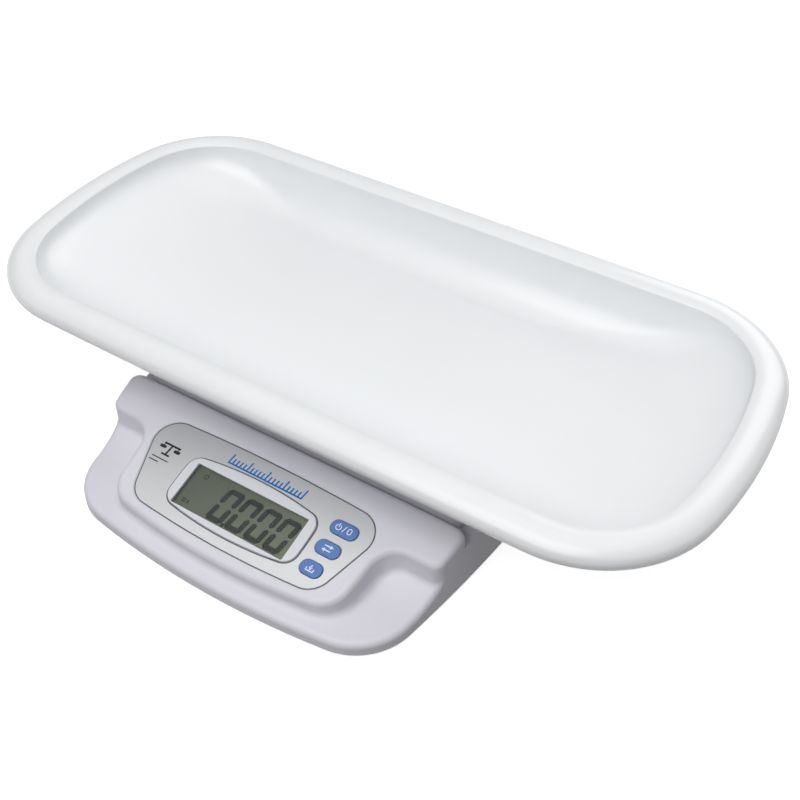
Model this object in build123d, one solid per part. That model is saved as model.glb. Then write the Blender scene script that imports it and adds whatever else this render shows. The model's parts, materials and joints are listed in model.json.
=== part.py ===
from build123d import *
from math import atan2, cos, degrees, hypot, radians, sin, sqrt, tan
import os

# A digital baby weighing scale: a shallow tray on a weighing platform, carried by a load
# cell inside a housing whose console slopes towards the reader.
# Millimetres. +X runs along the tray, -Y points at the reader, +Z is up.
# Pieces are drawn with Z = 0 at the housing's lower edge and X = Y = 0 under the middle of
# the tray. save() moves them to the part's origin, which lies on the table under the middle
# of the whole scale.

# ---- Tray ----------------------------------------------------------------------------
TRAY_LENGTH = 574.6
TRAY_WIDTH = 272.6
TRAY_TOP = 105.5            # crest of the rim
TRAY_DEPTH = 43.5           # crest to floor, inside
TRAY_WALL = 3.0
TRAY_CORNER = 74.9          # plan radius of the rim's centre line
TRAY_SIDE_BOW = 26000.0     # plan radius of the long sides
TRAY_END_BOW = 330.0        # plan radius of the short ends
RIM_HALF_BREADTH = 14.35    # rolled rim, outside, on either side of its centre line
RIM_HALF_HEIGHT = 10.0
RIM_SIDE_RADIUS = 7.5       # its outer side; its crown is the larger arc that meets it
RIM_WALL = 3.0
RIM_INNER_ANGLE = 29.0      # where the inner wall leaves the crown, from its top
RIM_JOIN_ANGLE = 11.0       # crown that runs on into the wall
RIM_JOIN_DROP = 2.0         # top of the dish's curve below that crease
RIM_JOIN_LAP = 0.8          # outside of the wall that runs on into the roll
RIM_LIP_ANGLE = -65.0       # where the roll stops under its outer side
FLOOR_END_RUN = 146.16      # from the mouth's end to the flat part of the floor
FLOOR_HALF_WIDTH = 76.0     # flat part of the floor
FLOOR_CORNER = 56.0
DISH_STEPS = 6              # sections that shape the curve from floor to rim
PEG_RADIUS = 5.0            # pegs that centre the tray on the platform
PEG_LENGTH = 8.5
PEG_X = 58.0
PEG_Y = 50.0
PEG_GAP = 0.5

# ---- Housing -------------------------------------------------------------------------
HOUSING_FRONT = 209.5       # front edge to the middle of the tray
HOUSING_BACK = 121.0
HOUSING_HALF_WIDTH = 152.5
HOUSING_WIDEST = 20.0       # Y of the widest place
HOUSING_FRONT_BOW = 680.0
HOUSING_BACK_BOW = 1500.0
HOUSING_SIDE_BOW = 1070.0
HOUSING_FRONT_CORNER = 46.0
HOUSING_BACK_CORNER = 40.0
HOUSING_TOP = 47.08         # where the slope would reach SLOPE_BACK
HOUSING_WALL = 2.5
DRAFT = 2.0                 # degrees, on the outer wall
TOP_ROUND = 4.5             # fillets of the console's top edge
FLARE_ROUND = 8.0           # upright edge where the shoulder meets the outer wall
FOOT_DROP = 4.0             # housing's lower edge above the table

# ---- Console -------------------------------------------------------------------------
TILT = 15.0                 # degrees
SLOPE_BACK = 103.0          # the slope has the top's height this far in front of the middle
DECK_HEIGHT = 33.0          # top of the housing behind the console, under the platform
DECK_ROUND = 3.0
CONSOLE_FRONT = 197.5
CONSOLE_HALF_WIDTH = 101.5
CONSOLE_WIDEST = -100.0
CONSOLE_FRONT_BOW = 530.0
CONSOLE_SIDE_BOW = 600.0
CONSOLE_CORNER = 22.0
FLARE_FRONT = 136.0         # where the console flares out to the full width
FLARE_RADIUS = 18.0
SHOULDER_HEIGHT = 10.5      # top of the skirt in front
SHOULDER_FALL = 0.008       # slope of the skirt's top towards the front
RAMP_START = 166.0          # from here the skirt's top curves up to the flare
RAMP_RADIUS = 56.0
RAMP_SWEEP = 70.0

# ---- Panel, display and keys, in the slope's own U, V and W ---------------------------
PANEL_Y = -159.9            # U = V = 0 on the slope
FILM_THICKNESS = 0.5
FILM_RECESS = 0.6
FILM_GAP = 0.8              # dark line round the film
FILM_TOP_HALF = 98.5        # corners of the film before rounding
FILM_TOP_V = 36.0
FILM_BOTTOM_HALF = 78.0
FILM_BOTTOM_V = -27.0
FILM_TOP_BOW = 3.5
FILM_BOTTOM_BOW = 4.0
FILM_CORNER = 18.0
BEZEL_U = -0.9
BEZEL_V = 0.35
BEZEL_HALF_WIDTH = 54.3
BEZEL_HALF_HEIGHT = 22.7
BEZEL_BOW = 300.0
BEZEL_END_BOW = 260.0
BEZEL_CORNER = 10.0
BEZEL_RISE = 1.4            # above the slope
BEZEL_ROUND = 0.7
BEZEL_GAP = 0.25
VIEW_WIDTH = 94.3           # open area of the bezel
VIEW_HEIGHT = 32.8
VIEW_V = -1.5
VIEW_CORNER = 1.0
WINDOW_MARGIN = 1.8         # window behind the bezel's edge
WINDOW_THICKNESS = 1.5
WINDOW_GAP = 0.25
GLASS_THICKNESS = 2.4
GLASS_GAP = 0.1             # window to display glass
GLASS_INSET = 0.45          # display glass inside the window's outline
HOLDER_GAP = 0.3
HOLDER_WALL = 3.0
STRIP_WIDTH = 2.0
STRIP_INSET = 1.2
LIGHT_GAP = 0.5
BUTTON_NAMES = ("zero", "mode", "memory")
BUTTON_TOP_U = 70.8         # the upper key; the others follow in equal steps
BUTTON_TOP_V = 19.8
BUTTON_TOP_LENGTH = 20.5
BUTTON_STEP_U = 2.1
BUTTON_STEP_V = 16.45
BUTTON_STEP_LENGTH = 2.0
BUTTON_HEIGHT = 10.6
BUTTON_CORNER = 5.0
BUTTON_RISE = 1.2
BUTTON_ROUND = 1.0
BUTTON_GAP = 0.35
BUTTON_TRAVEL = 0.6
FLANGE_MARGIN = 1.2
FLANGE_THICKNESS = 1.2
FLANGE_GAP = 0.3            # flange to the back of the slope's wall

# ---- Main board ----------------------------------------------------------------------
BOARD_DEPTH = 9.0           # slope to the board's upper face
BOARD_THICKNESS = 1.6
BOARD_HALF_WIDTH = 84.5
BOARD_TOP_V = 33.0
BOARD_BOTTOM_V = -24.0
BOARD_BOSS_U = 81.5
BOARD_BOSS_TOP_V = 29.5
BOARD_BOSS_BOTTOM_V = -20.0
BOARD_BOSS_RADIUS = 2.6
BOARD_SCREW_RADIUS = 1.2
BOARD_SCREW_LENGTH = 6.0
BOARD_SCREW_HEAD = 2.3
BOARD_SCREW_HEAD_HEIGHT = 1.6
SWITCH_SIZE = 6.0
SWITCH_HEIGHT = 3.4
PLUNGER_RADIUS = 1.7
PLUNGER_GAP = 0.08
PLUNGER_DEPTH = 1.6         # plunger inside its switch at rest
SWITCH_MARGIN = 0.2         # below the plunger when its key is pressed
PROCESSOR_SIZE = 14.0
PROCESSOR_HEIGHT = 1.6
PROCESSOR_U = -12.0
BUZZER_RADIUS = 6.0
BUZZER_HEIGHT = 5.0
BUZZER_U = 30.0
CONNECTOR_WIDTH = 12.0
CONNECTOR_LENGTH = 6.0
CONNECTOR_HEIGHT = 6.0
CONNECTOR_U = -40.0
CONNECTOR_V = 22.0

# ---- Platform ------------------------------------------------------------------------
PLATFORM_HALF_WIDTH = 132.5
PLATFORM_HALF_DEPTH = 101.5
PLATFORM_CORNER = 6.0
PLATFORM_TOP = 57.0
PLATFORM_SKIRT = 35.5       # lower edge of the platform's wall
PLATFORM_WALL = 3.0
PLATFORM_ROUND = 2.5
PLATFORM_GAP = 2.0          # slot between console and platform
PLATFORM_TRAVEL = 1.0       # sinking at the full load
PAD_RADIUS = 9.0
PAD_X = 88.0
PAD_Y = 50.0
SPIDER_THICKNESS = 4.0
SPIDER_BOTTOM = 38.0
SPIDER_ARM_WIDTH = 24.0
SPIDER_ARM_X = 95.0         # screws that hold the platform's cover
SPIDER_ARM_Y = 72.0
SPIDER_HUB_LENGTH = 150.0
SPIDER_HUB_WIDTH = 40.0
COVER_BOSS_RADIUS = 5.0
COVER_SCREW_RADIUS = 1.9
COVER_SCREW_LENGTH = 12.0
COVER_SCREW_HEAD = 4.0
COVER_SCREW_HEAD_HEIGHT = 2.3

# ---- Load cell -----------------------------------------------------------------------
CELL_LENGTH = 130.0
CELL_WIDTH = 30.0
CELL_BOTTOM = 9.0
CELL_HEIGHT = 20.0
CELL_HOLE_RADIUS = 7.0
CELL_HOLE_SPACING = 24.0
CELL_BOLT_OUTER = 55.0      # bolts from the middle of the cell
CELL_BOLT_INNER = 40.0
CELL_BOLT_RADIUS = 2.95
CELL_BOLT_HEAD = 5.0
CELL_BOLT_HEAD_HEIGHT = 2.8
CELL_BOLT_GRIP = 14.0       # thread inside the cell
SPACER_LENGTH = 30.0
BASE_PLATE_HALF_LENGTH = 80.0
BASE_PLATE_HALF_WIDTH = 60.0
BASE_PLATE_THICKNESS = 3.0
BASE_SCREW_X = 72.0
BASE_SCREW_Y = 30.0
BASE_SCREW_RADIUS = 1.9
BASE_SCREW_HOLE = 2.4       # blind hole in the housing's floor
BASE_SCREW_GRIP = 2.1       # thread inside it
STOP_X = 66.0               # overload stops, under the spider's arms
STOP_RADIUS = 3.0
STOP_NUT_RADIUS = 5.0
STOP_NUT_HEIGHT = 4.0
STOP_MARGIN = 0.2           # stops clear the spider by this at the full load
STOP_HOLE_GAP = 1.5
HEAD_HOLE_GAP = 4.0         # well floor round the load cell's head spacer
LEAD_RADIUS = 1.25
LEAD_START_X = -20.0
LEAD_START_Z = 18.0
LEAD_ROUTE = ((-20.0, -48.0, 18.0), (-34.0, -98.0, 9.0))    # X, Y, Z
LEAD_DROP = 12.0            # straight run below the connector
LEAD_BEND = 0.45            # arc tangent as a share of the shorter run

# ---- Floor of the housing ------------------------------------------------------------
FLOOR_BOTTOM = 0.5
FLOOR_THICKNESS = 3.5
FLOOR_GAP = 0.3
LAP_HEIGHT = 3.0
LAP_WALL = 2.0
RIB_HEIGHT = 3.0
RIB_THICKNESS = 1.6
RIB_FRONT = 188.0
RIB_BACK = 70.0
RIB_X = (-60.0, -20.0, 20.0, 60.0)
BOSS_RADIUS = 3.5
FRONT_BOSS_INSET = 11.0     # from the side and the front of the console
FRONT_BOSS_SETBACK = 47.5
SIDE_BOSS_INSET = 13.5      # from the side of the housing
SIDE_BOSS_SPREAD = 67.0     # half the distance between the bosses at one side
SIDE_BOSS_MIDDLE = 7.0      # Y
HOUSING_SCREW_RADIUS = 1.4
HOUSING_SCREW_LENGTH = 14.0
HOUSING_SCREW_HEAD = 2.8
HOUSING_SCREW_HEAD_HEIGHT = 2.0
SCREW_CLEARANCE = 0.2       # round a screw in the piece that it passes
THREAD_GAP = 0.05           # round a thread in its own hole
SEAT_GAP = 0.02             # under a screw's head or a foot's shoulder
PILOT_MARGIN = 1.0          # blind hole beyond the tip of its screw
FOOT_RADIUS = 10.0
FOOT_STEM_RADIUS = 3.5
FOOT_HEAD_RADIUS = 4.6
FOOT_HEAD_HEIGHT = 1.5
FOOT_GAP = 0.15
FOOT_FRONT_INSET = 48.5     # from the side of the housing
FOOT_FRONT_SETBACK = 37.5
FOOT_BACK_INSET = 28.5
FOOT_BACK_SETBACK = 33.0

# ---- Batteries and power -------------------------------------------------------------
CELL_RADIUS = 7.1           # AA cells
CELL_BODY = 49.0
CELL_NUB = 1.2
CELL_NUB_RADIUS = 2.7
CELL_PITCH = 15.0
CELL_COUNT = 2              # rows of two
BAY_MIDDLE = 85.5           # Y
BAY_SIDE_GAP = 0.9
BAY_ROOF = 18.4
BAY_WALL = 2.0
CONTACT_THICKNESS = 0.5
CONTACT_SIZE = 11.0
CONTACT_SPRING_LENGTH = 5.2
CONTACT_SPRING_RADIUS = 3.0  # spring drawn as a plain cone
CONTACT_TIP_RADIUS = 1.8
CONTACT_GAP = 0.1
DOOR_MARGIN = 2.0           # door beyond the bay, each side
DOOR_THICKNESS = 2.2
DOOR_GAP = 0.3
TONGUE_WIDTH = 2.0
TONGUE_THICKNESS = 1.0
TONGUE_END_GAP = 12.0       # tongue stops short of the back wall
DOOR_LIP_HEIGHT = 9.5
GRIP_COUNT = 5
GRIP_PITCH = 3.0
GRIP_WIDTH = 1.2
GRIP_DEPTH = 0.6
GRIP_LENGTH = 30.0
JACK_X = 95.0
JACK_Z = 16.0
JACK_WIDTH = 9.0
JACK_HEIGHT = 11.0
JACK_DEPTH = 13.0
JACK_TUBE_RADIUS = 4.2
JACK_BORE_RADIUS = 2.85
JACK_BORE_DEPTH = 9.5
JACK_PIN_RADIUS = 1.0
JACK_PIN_DEPTH = 1.0        # pin's tip behind the mouth
JACK_GAP = 0.2
PLATE_LENGTH = 60.0         # bare rating plate under the floor
PLATE_WIDTH = 34.0
PLATE_THICKNESS = 0.2
PLATE_Y = -120.0

# ---- Values worked out from those above -----------------------------------------------
RIM_HEIGHT = TRAY_TOP - RIM_HALF_HEIGHT
RIM_HALF_LENGTH = TRAY_LENGTH / 2 - RIM_HALF_BREADTH
RIM_HALF_WIDTH = TRAY_WIDTH / 2 - RIM_HALF_BREADTH
RIM_SIDE_CENTRE = RIM_HALF_BREADTH - RIM_SIDE_RADIUS
RIM_CROWN_RADIUS = ((RIM_HALF_BREADTH**2 + RIM_HALF_HEIGHT**2
                     - 2 * RIM_HALF_BREADTH * RIM_SIDE_RADIUS)
                    / (2 * (RIM_HALF_HEIGHT - RIM_SIDE_RADIUS)))
RIM_CROWN_CENTRE = RIM_HALF_HEIGHT - RIM_CROWN_RADIUS
RIM_SHOULDER = degrees(atan2(RIM_SIDE_CENTRE, -RIM_CROWN_CENTRE))
MOUTH_INSET = RIM_CROWN_RADIUS * sin(radians(RIM_INNER_ANGLE))
MOUTH_HEIGHT = (RIM_HEIGHT + RIM_CROWN_CENTRE
                + RIM_CROWN_RADIUS * cos(radians(RIM_INNER_ANGLE)))
FLOOR_HALF_LENGTH = RIM_HALF_LENGTH - MOUTH_INSET - FLOOR_END_RUN
TRAY_FLOOR = TRAY_TOP - TRAY_DEPTH
TRAY_UNDERSIDE = TRAY_FLOOR - TRAY_WALL
ORIGIN_Y = (TRAY_WIDTH / 2 - HOUSING_FRONT) / 2
CONSOLE_BACK = PLATFORM_HALF_DEPTH + PLATFORM_GAP
FLOOR_TOP = FLOOR_BOTTOM + FLOOR_THICKNESS
FRONT_BOSS = (CONSOLE_HALF_WIDTH - FRONT_BOSS_INSET, FRONT_BOSS_SETBACK - CONSOLE_FRONT)
SIDE_BOSS_X = HOUSING_HALF_WIDTH - SIDE_BOSS_INSET
FOOT_FRONT = (HOUSING_HALF_WIDTH - FOOT_FRONT_INSET, FOOT_FRONT_SETBACK - HOUSING_FRONT)
FOOT_BACK = (HOUSING_HALF_WIDTH - FOOT_BACK_INSET, HOUSING_BACK - FOOT_BACK_SETBACK)
SPIDER_TOP = SPIDER_BOTTOM + SPIDER_THICKNESS
CELL_TOP = CELL_BOTTOM + CELL_HEIGHT
BASE_PLATE_TOP = FLOOR_TOP + BASE_PLATE_THICKNESS
CELL_END = (CELL_BOLT_OUTER + CELL_BOLT_INNER) / 2
STOP_Y = STOP_X * SPIDER_ARM_Y / SPIDER_ARM_X
STOP_TOP = SPIDER_BOTTOM - PLATFORM_TRAVEL - STOP_MARGIN
BAY_HALF_LENGTH = (CELL_BODY + CELL_NUB + CONTACT_GAP + CONTACT_SPRING_LENGTH
                   + CONTACT_THICKNESS)
BAY_HALF_DEPTH = CELL_PITCH * CELL_COUNT / 2 + BAY_SIDE_GAP
BAY_FRONT = BAY_MIDDLE - BAY_HALF_DEPTH
BAY_BACK = BAY_MIDDLE + BAY_HALF_DEPTH
DOOR_TOP = FLOOR_BOTTOM + DOOR_THICKNESS
DOOR_HALF_WIDTH = BAY_HALF_LENGTH + DOOR_MARGIN
DOOR_FRONT = BAY_FRONT - DOOR_MARGIN
SLOPE_NORMAL = (0.0, -sin(radians(TILT)), cos(radians(TILT)))
PANEL_Z = HOUSING_TOP + (PANEL_Y + SLOPE_BACK) * tan(radians(TILT))
PANEL = Plane(origin=(0, PANEL_Y, PANEL_Z), x_dir=(1, 0, 0), z_dir=SLOPE_NORMAL)
FILM_FLOOR = -FILM_RECESS                    # W of the recess that holds the film
WINDOW_BACK = FILM_FLOOR - WINDOW_THICKNESS
GLASS_TOP = WINDOW_BACK - GLASS_GAP
GLASS_BACK = GLASS_TOP - GLASS_THICKNESS
BOARD_TOP = -BOARD_DEPTH
BOARD_BACK = BOARD_TOP - BOARD_THICKNESS
FLANGE_TOP = -HOUSING_WALL - FLANGE_GAP
FLANGE_BACK = FLANGE_TOP - FLANGE_THICKNESS
LOW = (Align.CENTER, Align.CENTER, Align.MIN)
FAR = 400.0                                  # longer than any piece
SPARE = 1.0                                  # overrun of a cut, or root of a joined piece
CLOSE = 0.05                                 # how near an edge lies to the surface it is found by


class Outline:
    """A closed outline of front, back and side arcs joined by four tangent corner arcs."""

    def __init__(self, front, back, half_width, widest, bows, corners):
        self.edge = {-1: front, 1: back}
        self.bow = {-1: bows[0], 1: bows[1]}
        self.side_bow = bows[2]
        self.half_width = half_width
        self.widest = widest
        self.corner = {-1: corners[0], 1: corners[1]}

    def corner_points(self, end, inset):
        """Start, middle and end of the right-hand corner arc at the front or back."""
        edge = self.edge[end] - end * inset
        bow = self.bow[end] - inset
        side = self.side_bow - inset
        corner = self.corner[end] - inset
        bow_y = edge - end * bow
        side_x = self.half_width - inset - side
        reach_bow = bow - corner
        reach_side = side - corner
        step_y = self.widest - bow_y
        apart = hypot(side_x, step_y)
        along = (reach_bow**2 - reach_side**2 + apart**2) / (2 * apart)
        across = end * sqrt(reach_bow**2 - along**2)
        x = (side_x * along + step_y * across) / apart
        if x < 0:
            across = -across
            x = (side_x * along + step_y * across) / apart
        y = bow_y + (step_y * along - side_x * across) / apart
        on_bow = (x * bow / reach_bow, bow_y + (y - bow_y) * bow / reach_bow)
        on_side = (side_x + (x - side_x) * side / reach_side,
                   self.widest + (y - self.widest) * side / reach_side)
        out_x = (on_bow[0] + on_side[0]) / 2 - x
        out_y = (on_bow[1] + on_side[1]) / 2 - y
        out = hypot(out_x, out_y)
        return on_bow, (x + out_x * corner / out, y + out_y * corner / out), on_side

    def face(self, inset=0.0):
        front, front_mid, front_side = self.corner_points(-1, inset)
        back, back_mid, back_side = self.corner_points(1, inset)
        side_mid = (self.half_width - inset, self.widest)
        right = [ThreePointArc(front, front_mid, front_side),
                 ThreePointArc(front_side, side_mid, back_side),
                 ThreePointArc(back_side, back_mid, back)]
        left = [arc.mirror(Plane.YZ) for arc in right]
        front_arc = ThreePointArc(flip(front), (0, self.edge[-1] + inset), front)
        back_arc = ThreePointArc(flip(back), (0, self.edge[1] - inset), back)
        return make_face([front_arc, back_arc, *right, *left])


def flip(point):
    return (-point[0], point[1])


def slab(low, high):
    """Box between two opposite corners."""
    size = [high[i] - low[i] for i in range(3)]
    return Pos(*low) * Box(*size, align=(Align.MIN, Align.MIN, Align.MIN))


def post(x, y, low, high, radius):
    return Pos(x, y, low) * Cylinder(radius, high - low, align=LOW)


def prism(face, low, high):
    return Pos(0, 0, low) * extrude(face, high - low)


def on_panel(u, v, w, shape):
    return PANEL.location * Pos(u, v, w) * shape


def panel_prism(face, low, high, u=0.0, v=0.0):
    return on_panel(u, v, low, extrude(face, high - low))


def four(x, y):
    return [(x, y), (-x, y), (x, -y), (-x, -y)]


def pair(x, y):
    return [(x, y), (-x, y)]


def screw(radius, length, head_radius, head_height):
    """A screw that points up from the underside of its head at Z = 0."""
    return Cylinder(radius, length, align=LOW) + Pos(0, 0, -head_height) * Cylinder(
        head_radius, head_height, align=LOW)


def save(name, *solids):
    whole = solids[0] if len(solids) == 1 else Compound(list(solids))
    export_step(Pos(0, -ORIGIN_Y, FOOT_DROP) * whole, f"parts/{name}.step")


# ---- Tray ----------------------------------------------------------------------------
def tray_outline(half_length, half_width, corner):
    return Outline(-half_width, half_width, half_length, 0.0,
                   (TRAY_SIDE_BOW, TRAY_SIDE_BOW, TRAY_END_BOW), (corner, corner))


def dish(wall, top):
    """Solid that fills the tray's inside up to the top, grown outwards by the wall."""
    floor = TRAY_FLOOR - wall
    mouth_length = RIM_HALF_LENGTH - MOUTH_INSET + wall
    mouth_width = RIM_HALF_WIDTH - MOUTH_INSET + wall
    mouth_corner = TRAY_CORNER - MOUTH_INSET + wall
    sections = []
    for step in range(DISH_STEPS + 1):
        turn = radians(90 * step / DISH_STEPS)
        out = sin(turn)
        up = 1 - cos(turn)
        ring = tray_outline(FLOOR_HALF_LENGTH + (mouth_length - FLOOR_HALF_LENGTH) * out,
                            FLOOR_HALF_WIDTH + (mouth_width - FLOOR_HALF_WIDTH) * out,
                            FLOOR_CORNER + (mouth_corner - FLOOR_CORNER) * out)
        sections.append(Pos(0, 0, floor + (top - floor) * up) * ring.face())
    return loft(sections)


def rim_side(inset):
    """The roll's outer side and crown, as one line, from its lip to its inner end."""
    side = CenterArc((RIM_SIDE_CENTRE, 0), RIM_SIDE_RADIUS - inset, RIM_LIP_ANGLE,
                     90 - RIM_SHOULDER - RIM_LIP_ANGLE)
    crown = CenterArc((0, RIM_CROWN_CENTRE), RIM_CROWN_RADIUS - inset, 90 - RIM_SHOULDER,
                      RIM_SHOULDER + RIM_INNER_ANGLE + RIM_JOIN_ANGLE)
    return side, crown


def rim_roll():
    """Rolled rim: a C-shaped section swept round the rim's centre line."""
    line = tray_outline(RIM_HALF_LENGTH, RIM_HALF_WIDTH, TRAY_CORNER).face()
    path = (Pos(0, 0, RIM_HEIGHT) * line).face().outer_wire()
    plane = Plane(origin=(0, -RIM_HALF_WIDTH, RIM_HEIGHT), x_dir=(0, -1, 0), z_dir=(-1, 0, 0))
    outer_side, outer_crown = rim_side(0.0)
    inner_side, inner_crown = rim_side(RIM_WALL)
    ends = [Line(outer_side @ 0, inner_side @ 0), Line(outer_crown @ 1, inner_crown @ 1)]
    section = make_face([outer_side, outer_crown, inner_side, inner_crown, *ends])
    return sweep(plane * section, path=path)


def tray():
    top = MOUTH_HEIGHT - RIM_JOIN_DROP
    cavity = dish(0.0, top)
    cavity += extrude(cavity.faces().sort_by(Axis.Z)[-1], TRAY_TOP + SPARE - top)
    shell = (dish(TRAY_WALL, top + RIM_JOIN_LAP) + rim_roll()) - cavity
    for x, y in four(PEG_X, PEG_Y):
        shell += post(x, y, TRAY_UNDERSIDE - PEG_LENGTH, TRAY_FLOOR - TRAY_WALL / 2, PEG_RADIUS)
    return shell


# ---- Housing -------------------------------------------------------------------------
HOUSING = Outline(-HOUSING_FRONT, HOUSING_BACK, HOUSING_HALF_WIDTH, HOUSING_WIDEST,
                  (HOUSING_FRONT_BOW, HOUSING_BACK_BOW, HOUSING_SIDE_BOW),
                  (HOUSING_FRONT_CORNER, HOUSING_BACK_CORNER))
CONSOLE = Outline(-CONSOLE_FRONT, 0.0, CONSOLE_HALF_WIDTH, CONSOLE_WIDEST,
                  (CONSOLE_FRONT_BOW, FAR * 10, CONSOLE_SIDE_BOW),
                  (CONSOLE_CORNER, CONSOLE_CORNER))


def drafted(inset, low, high):
    """The housing's outline between two heights, narrowing upwards by the draft."""
    lean = tan(radians(DRAFT))
    lower = Pos(0, 0, low) * HOUSING.face(inset + lean * low)
    upper = Pos(0, 0, high) * HOUSING.face(inset + lean * high)
    return loft([lower, upper], ruled=True)


def bell(inset):
    """Plan of the raised console: narrow in front, flaring to more than the full width."""
    flare = -FLARE_FRONT + inset
    wide = Pos(0, flare + FAR / 2) * Rectangle(FAR, FAR)
    plan = CONSOLE.face(inset) + wide
    notches = [v for v in plan.vertices()
               if abs(v.Y - flare) < CLOSE and abs(v.X) < HOUSING_HALF_WIDTH]
    return fillet(notches, FLARE_RADIUS + inset)


def above_skirt(inset):
    """Everything higher than the skirt's top, which ramps up towards the flare."""
    height = SHOULDER_HEIGHT - inset
    radius = RAMP_RADIUS + inset
    ramp = CenterArc((-RAMP_START, height + radius), radius, -90, RAMP_SWEEP)
    front = Line((-FAR, height - SHOULDER_FALL * (FAR - RAMP_START)), (-RAMP_START, height))
    top = Line(ramp @ 1, ((ramp @ 1).X, FAR))
    side = Polyline(top @ 1, (-FAR, FAR), front @ 0)
    profile = Plane.YZ * make_face([front, ramp, top, side])
    return extrude(profile, FAR, both=True)


def housing_form(inset, bottom):
    """Solid form of the housing, smaller by the inset on every side."""
    form = drafted(inset, bottom, HOUSING_TOP - inset)
    slope = Plane(origin=(0, -SLOPE_BACK, HOUSING_TOP), x_dir=(1, 0, 0), z_dir=SLOPE_NORMAL)
    form -= slope.offset(-inset).location * Box(2 * FAR, 2 * FAR, FAR, align=LOW)
    form -= slab((-FAR, -CONSOLE_BACK - inset, DECK_HEIGHT - inset), (FAR, FAR, FAR))
    beside = Pos(0, -FAR / 2) * Rectangle(2 * FAR, FAR) - bell(inset)
    return form - (extrude(beside, FAR) & above_skirt(inset))


def on_slope(edge):
    """True for an edge of the console's sloping face, but not for its back edge."""
    for part in (0, 0.5, 1):
        point = edge @ part
        slope = HOUSING_TOP + (point.Y + SLOPE_BACK) * tan(radians(TILT))
        if abs(point.Z - slope) > CLOSE:
            return False
    return (edge @ 0.5).Y < -CONSOLE_BACK - CLOSE



def on_skirt(edge):
    """True for an edge that runs along the skirt's top, but not for the ramp's start."""
    for part in (0, 0.5, 1):
        point = edge @ part
        rise = point.Y + RAMP_START
        height = SHOULDER_HEIGHT + SHOULDER_FALL * rise
        if rise > 0:
            height = SHOULDER_HEIGHT + RAMP_RADIUS - sqrt(max(RAMP_RADIUS**2 - rise**2, 0))
        if abs(point.Z - height) > CLOSE:
            return False
    return any(abs((edge @ end).Y + RAMP_START) > CLOSE for end in (0, 1))


def rounded_form():
    form = housing_form(0.0, 0.0)
    uprights = [e for e in form.edges() if e.geom_type == GeomType.HYPERBOLA]
    form = fillet(uprights, FLARE_ROUND)
    form = fillet([e for e in form.edges() if on_slope(e)], TOP_ROUND)
    form = fillet([e for e in form.edges() if on_skirt(e)], TOP_ROUND)
    low = drafted(0.0, 0.0, DECK_HEIGHT)
    low = fillet(low.edges().group_by(Axis.Z)[-1], DECK_ROUND)
    return form & (low + slab((-FAR, -FAR, -SPARE), (FAR, -CONSOLE_BACK, FAR)))


def film_face(grow=0.0):
    top = FILM_TOP_V
    bottom = FILM_BOTTOM_V
    right = (FILM_TOP_HALF, top)
    low_right = (FILM_BOTTOM_HALF, bottom)
    upper = ThreePointArc(flip(right), (0, top + FILM_TOP_BOW), right)
    lower = ThreePointArc(flip(low_right), (0, bottom - FILM_BOTTOM_BOW), low_right)
    sides = [Line(right, low_right), Line(flip(right), flip(low_right))]
    plan = make_face([upper, lower, *sides])
    plan = fillet(plan.vertices(), FILM_CORNER)
    return offset(plan, grow) if grow else plan


def bezel_face(inset=0.0):
    plan = Outline(-BEZEL_HALF_HEIGHT, BEZEL_HALF_HEIGHT, BEZEL_HALF_WIDTH, 0.0,
                   (BEZEL_BOW, BEZEL_BOW, BEZEL_END_BOW), (BEZEL_CORNER, BEZEL_CORNER))
    return Pos(BEZEL_U, BEZEL_V) * plan.face(inset)


def view_face(grow=0.0):
    return Pos(BEZEL_U, VIEW_V) * RectangleRounded(
        VIEW_WIDTH + 2 * grow, VIEW_HEIGHT + 2 * grow, VIEW_CORNER)


def button_middle(index):
    return BUTTON_TOP_U - index * BUTTON_STEP_U, BUTTON_TOP_V - index * BUTTON_STEP_V


def button_face(index, grow=0.0):
    length = BUTTON_TOP_LENGTH - index * BUTTON_STEP_LENGTH
    pill = RectangleRounded(length + 2 * grow, BUTTON_HEIGHT + 2 * grow, BUTTON_CORNER + grow)
    return Pos(*button_middle(index)) * pill


def housing_bosses():
    spots = pair(*FRONT_BOSS)
    for side in (-1, 1):
        spots += pair(SIDE_BOSS_X, SIDE_BOSS_MIDDLE + side * SIDE_BOSS_SPREAD)
    return spots


def board_bosses():
    return pair(BOARD_BOSS_U, BOARD_BOSS_TOP_V) + pair(BOARD_BOSS_U, BOARD_BOSS_BOTTOM_V)


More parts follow.
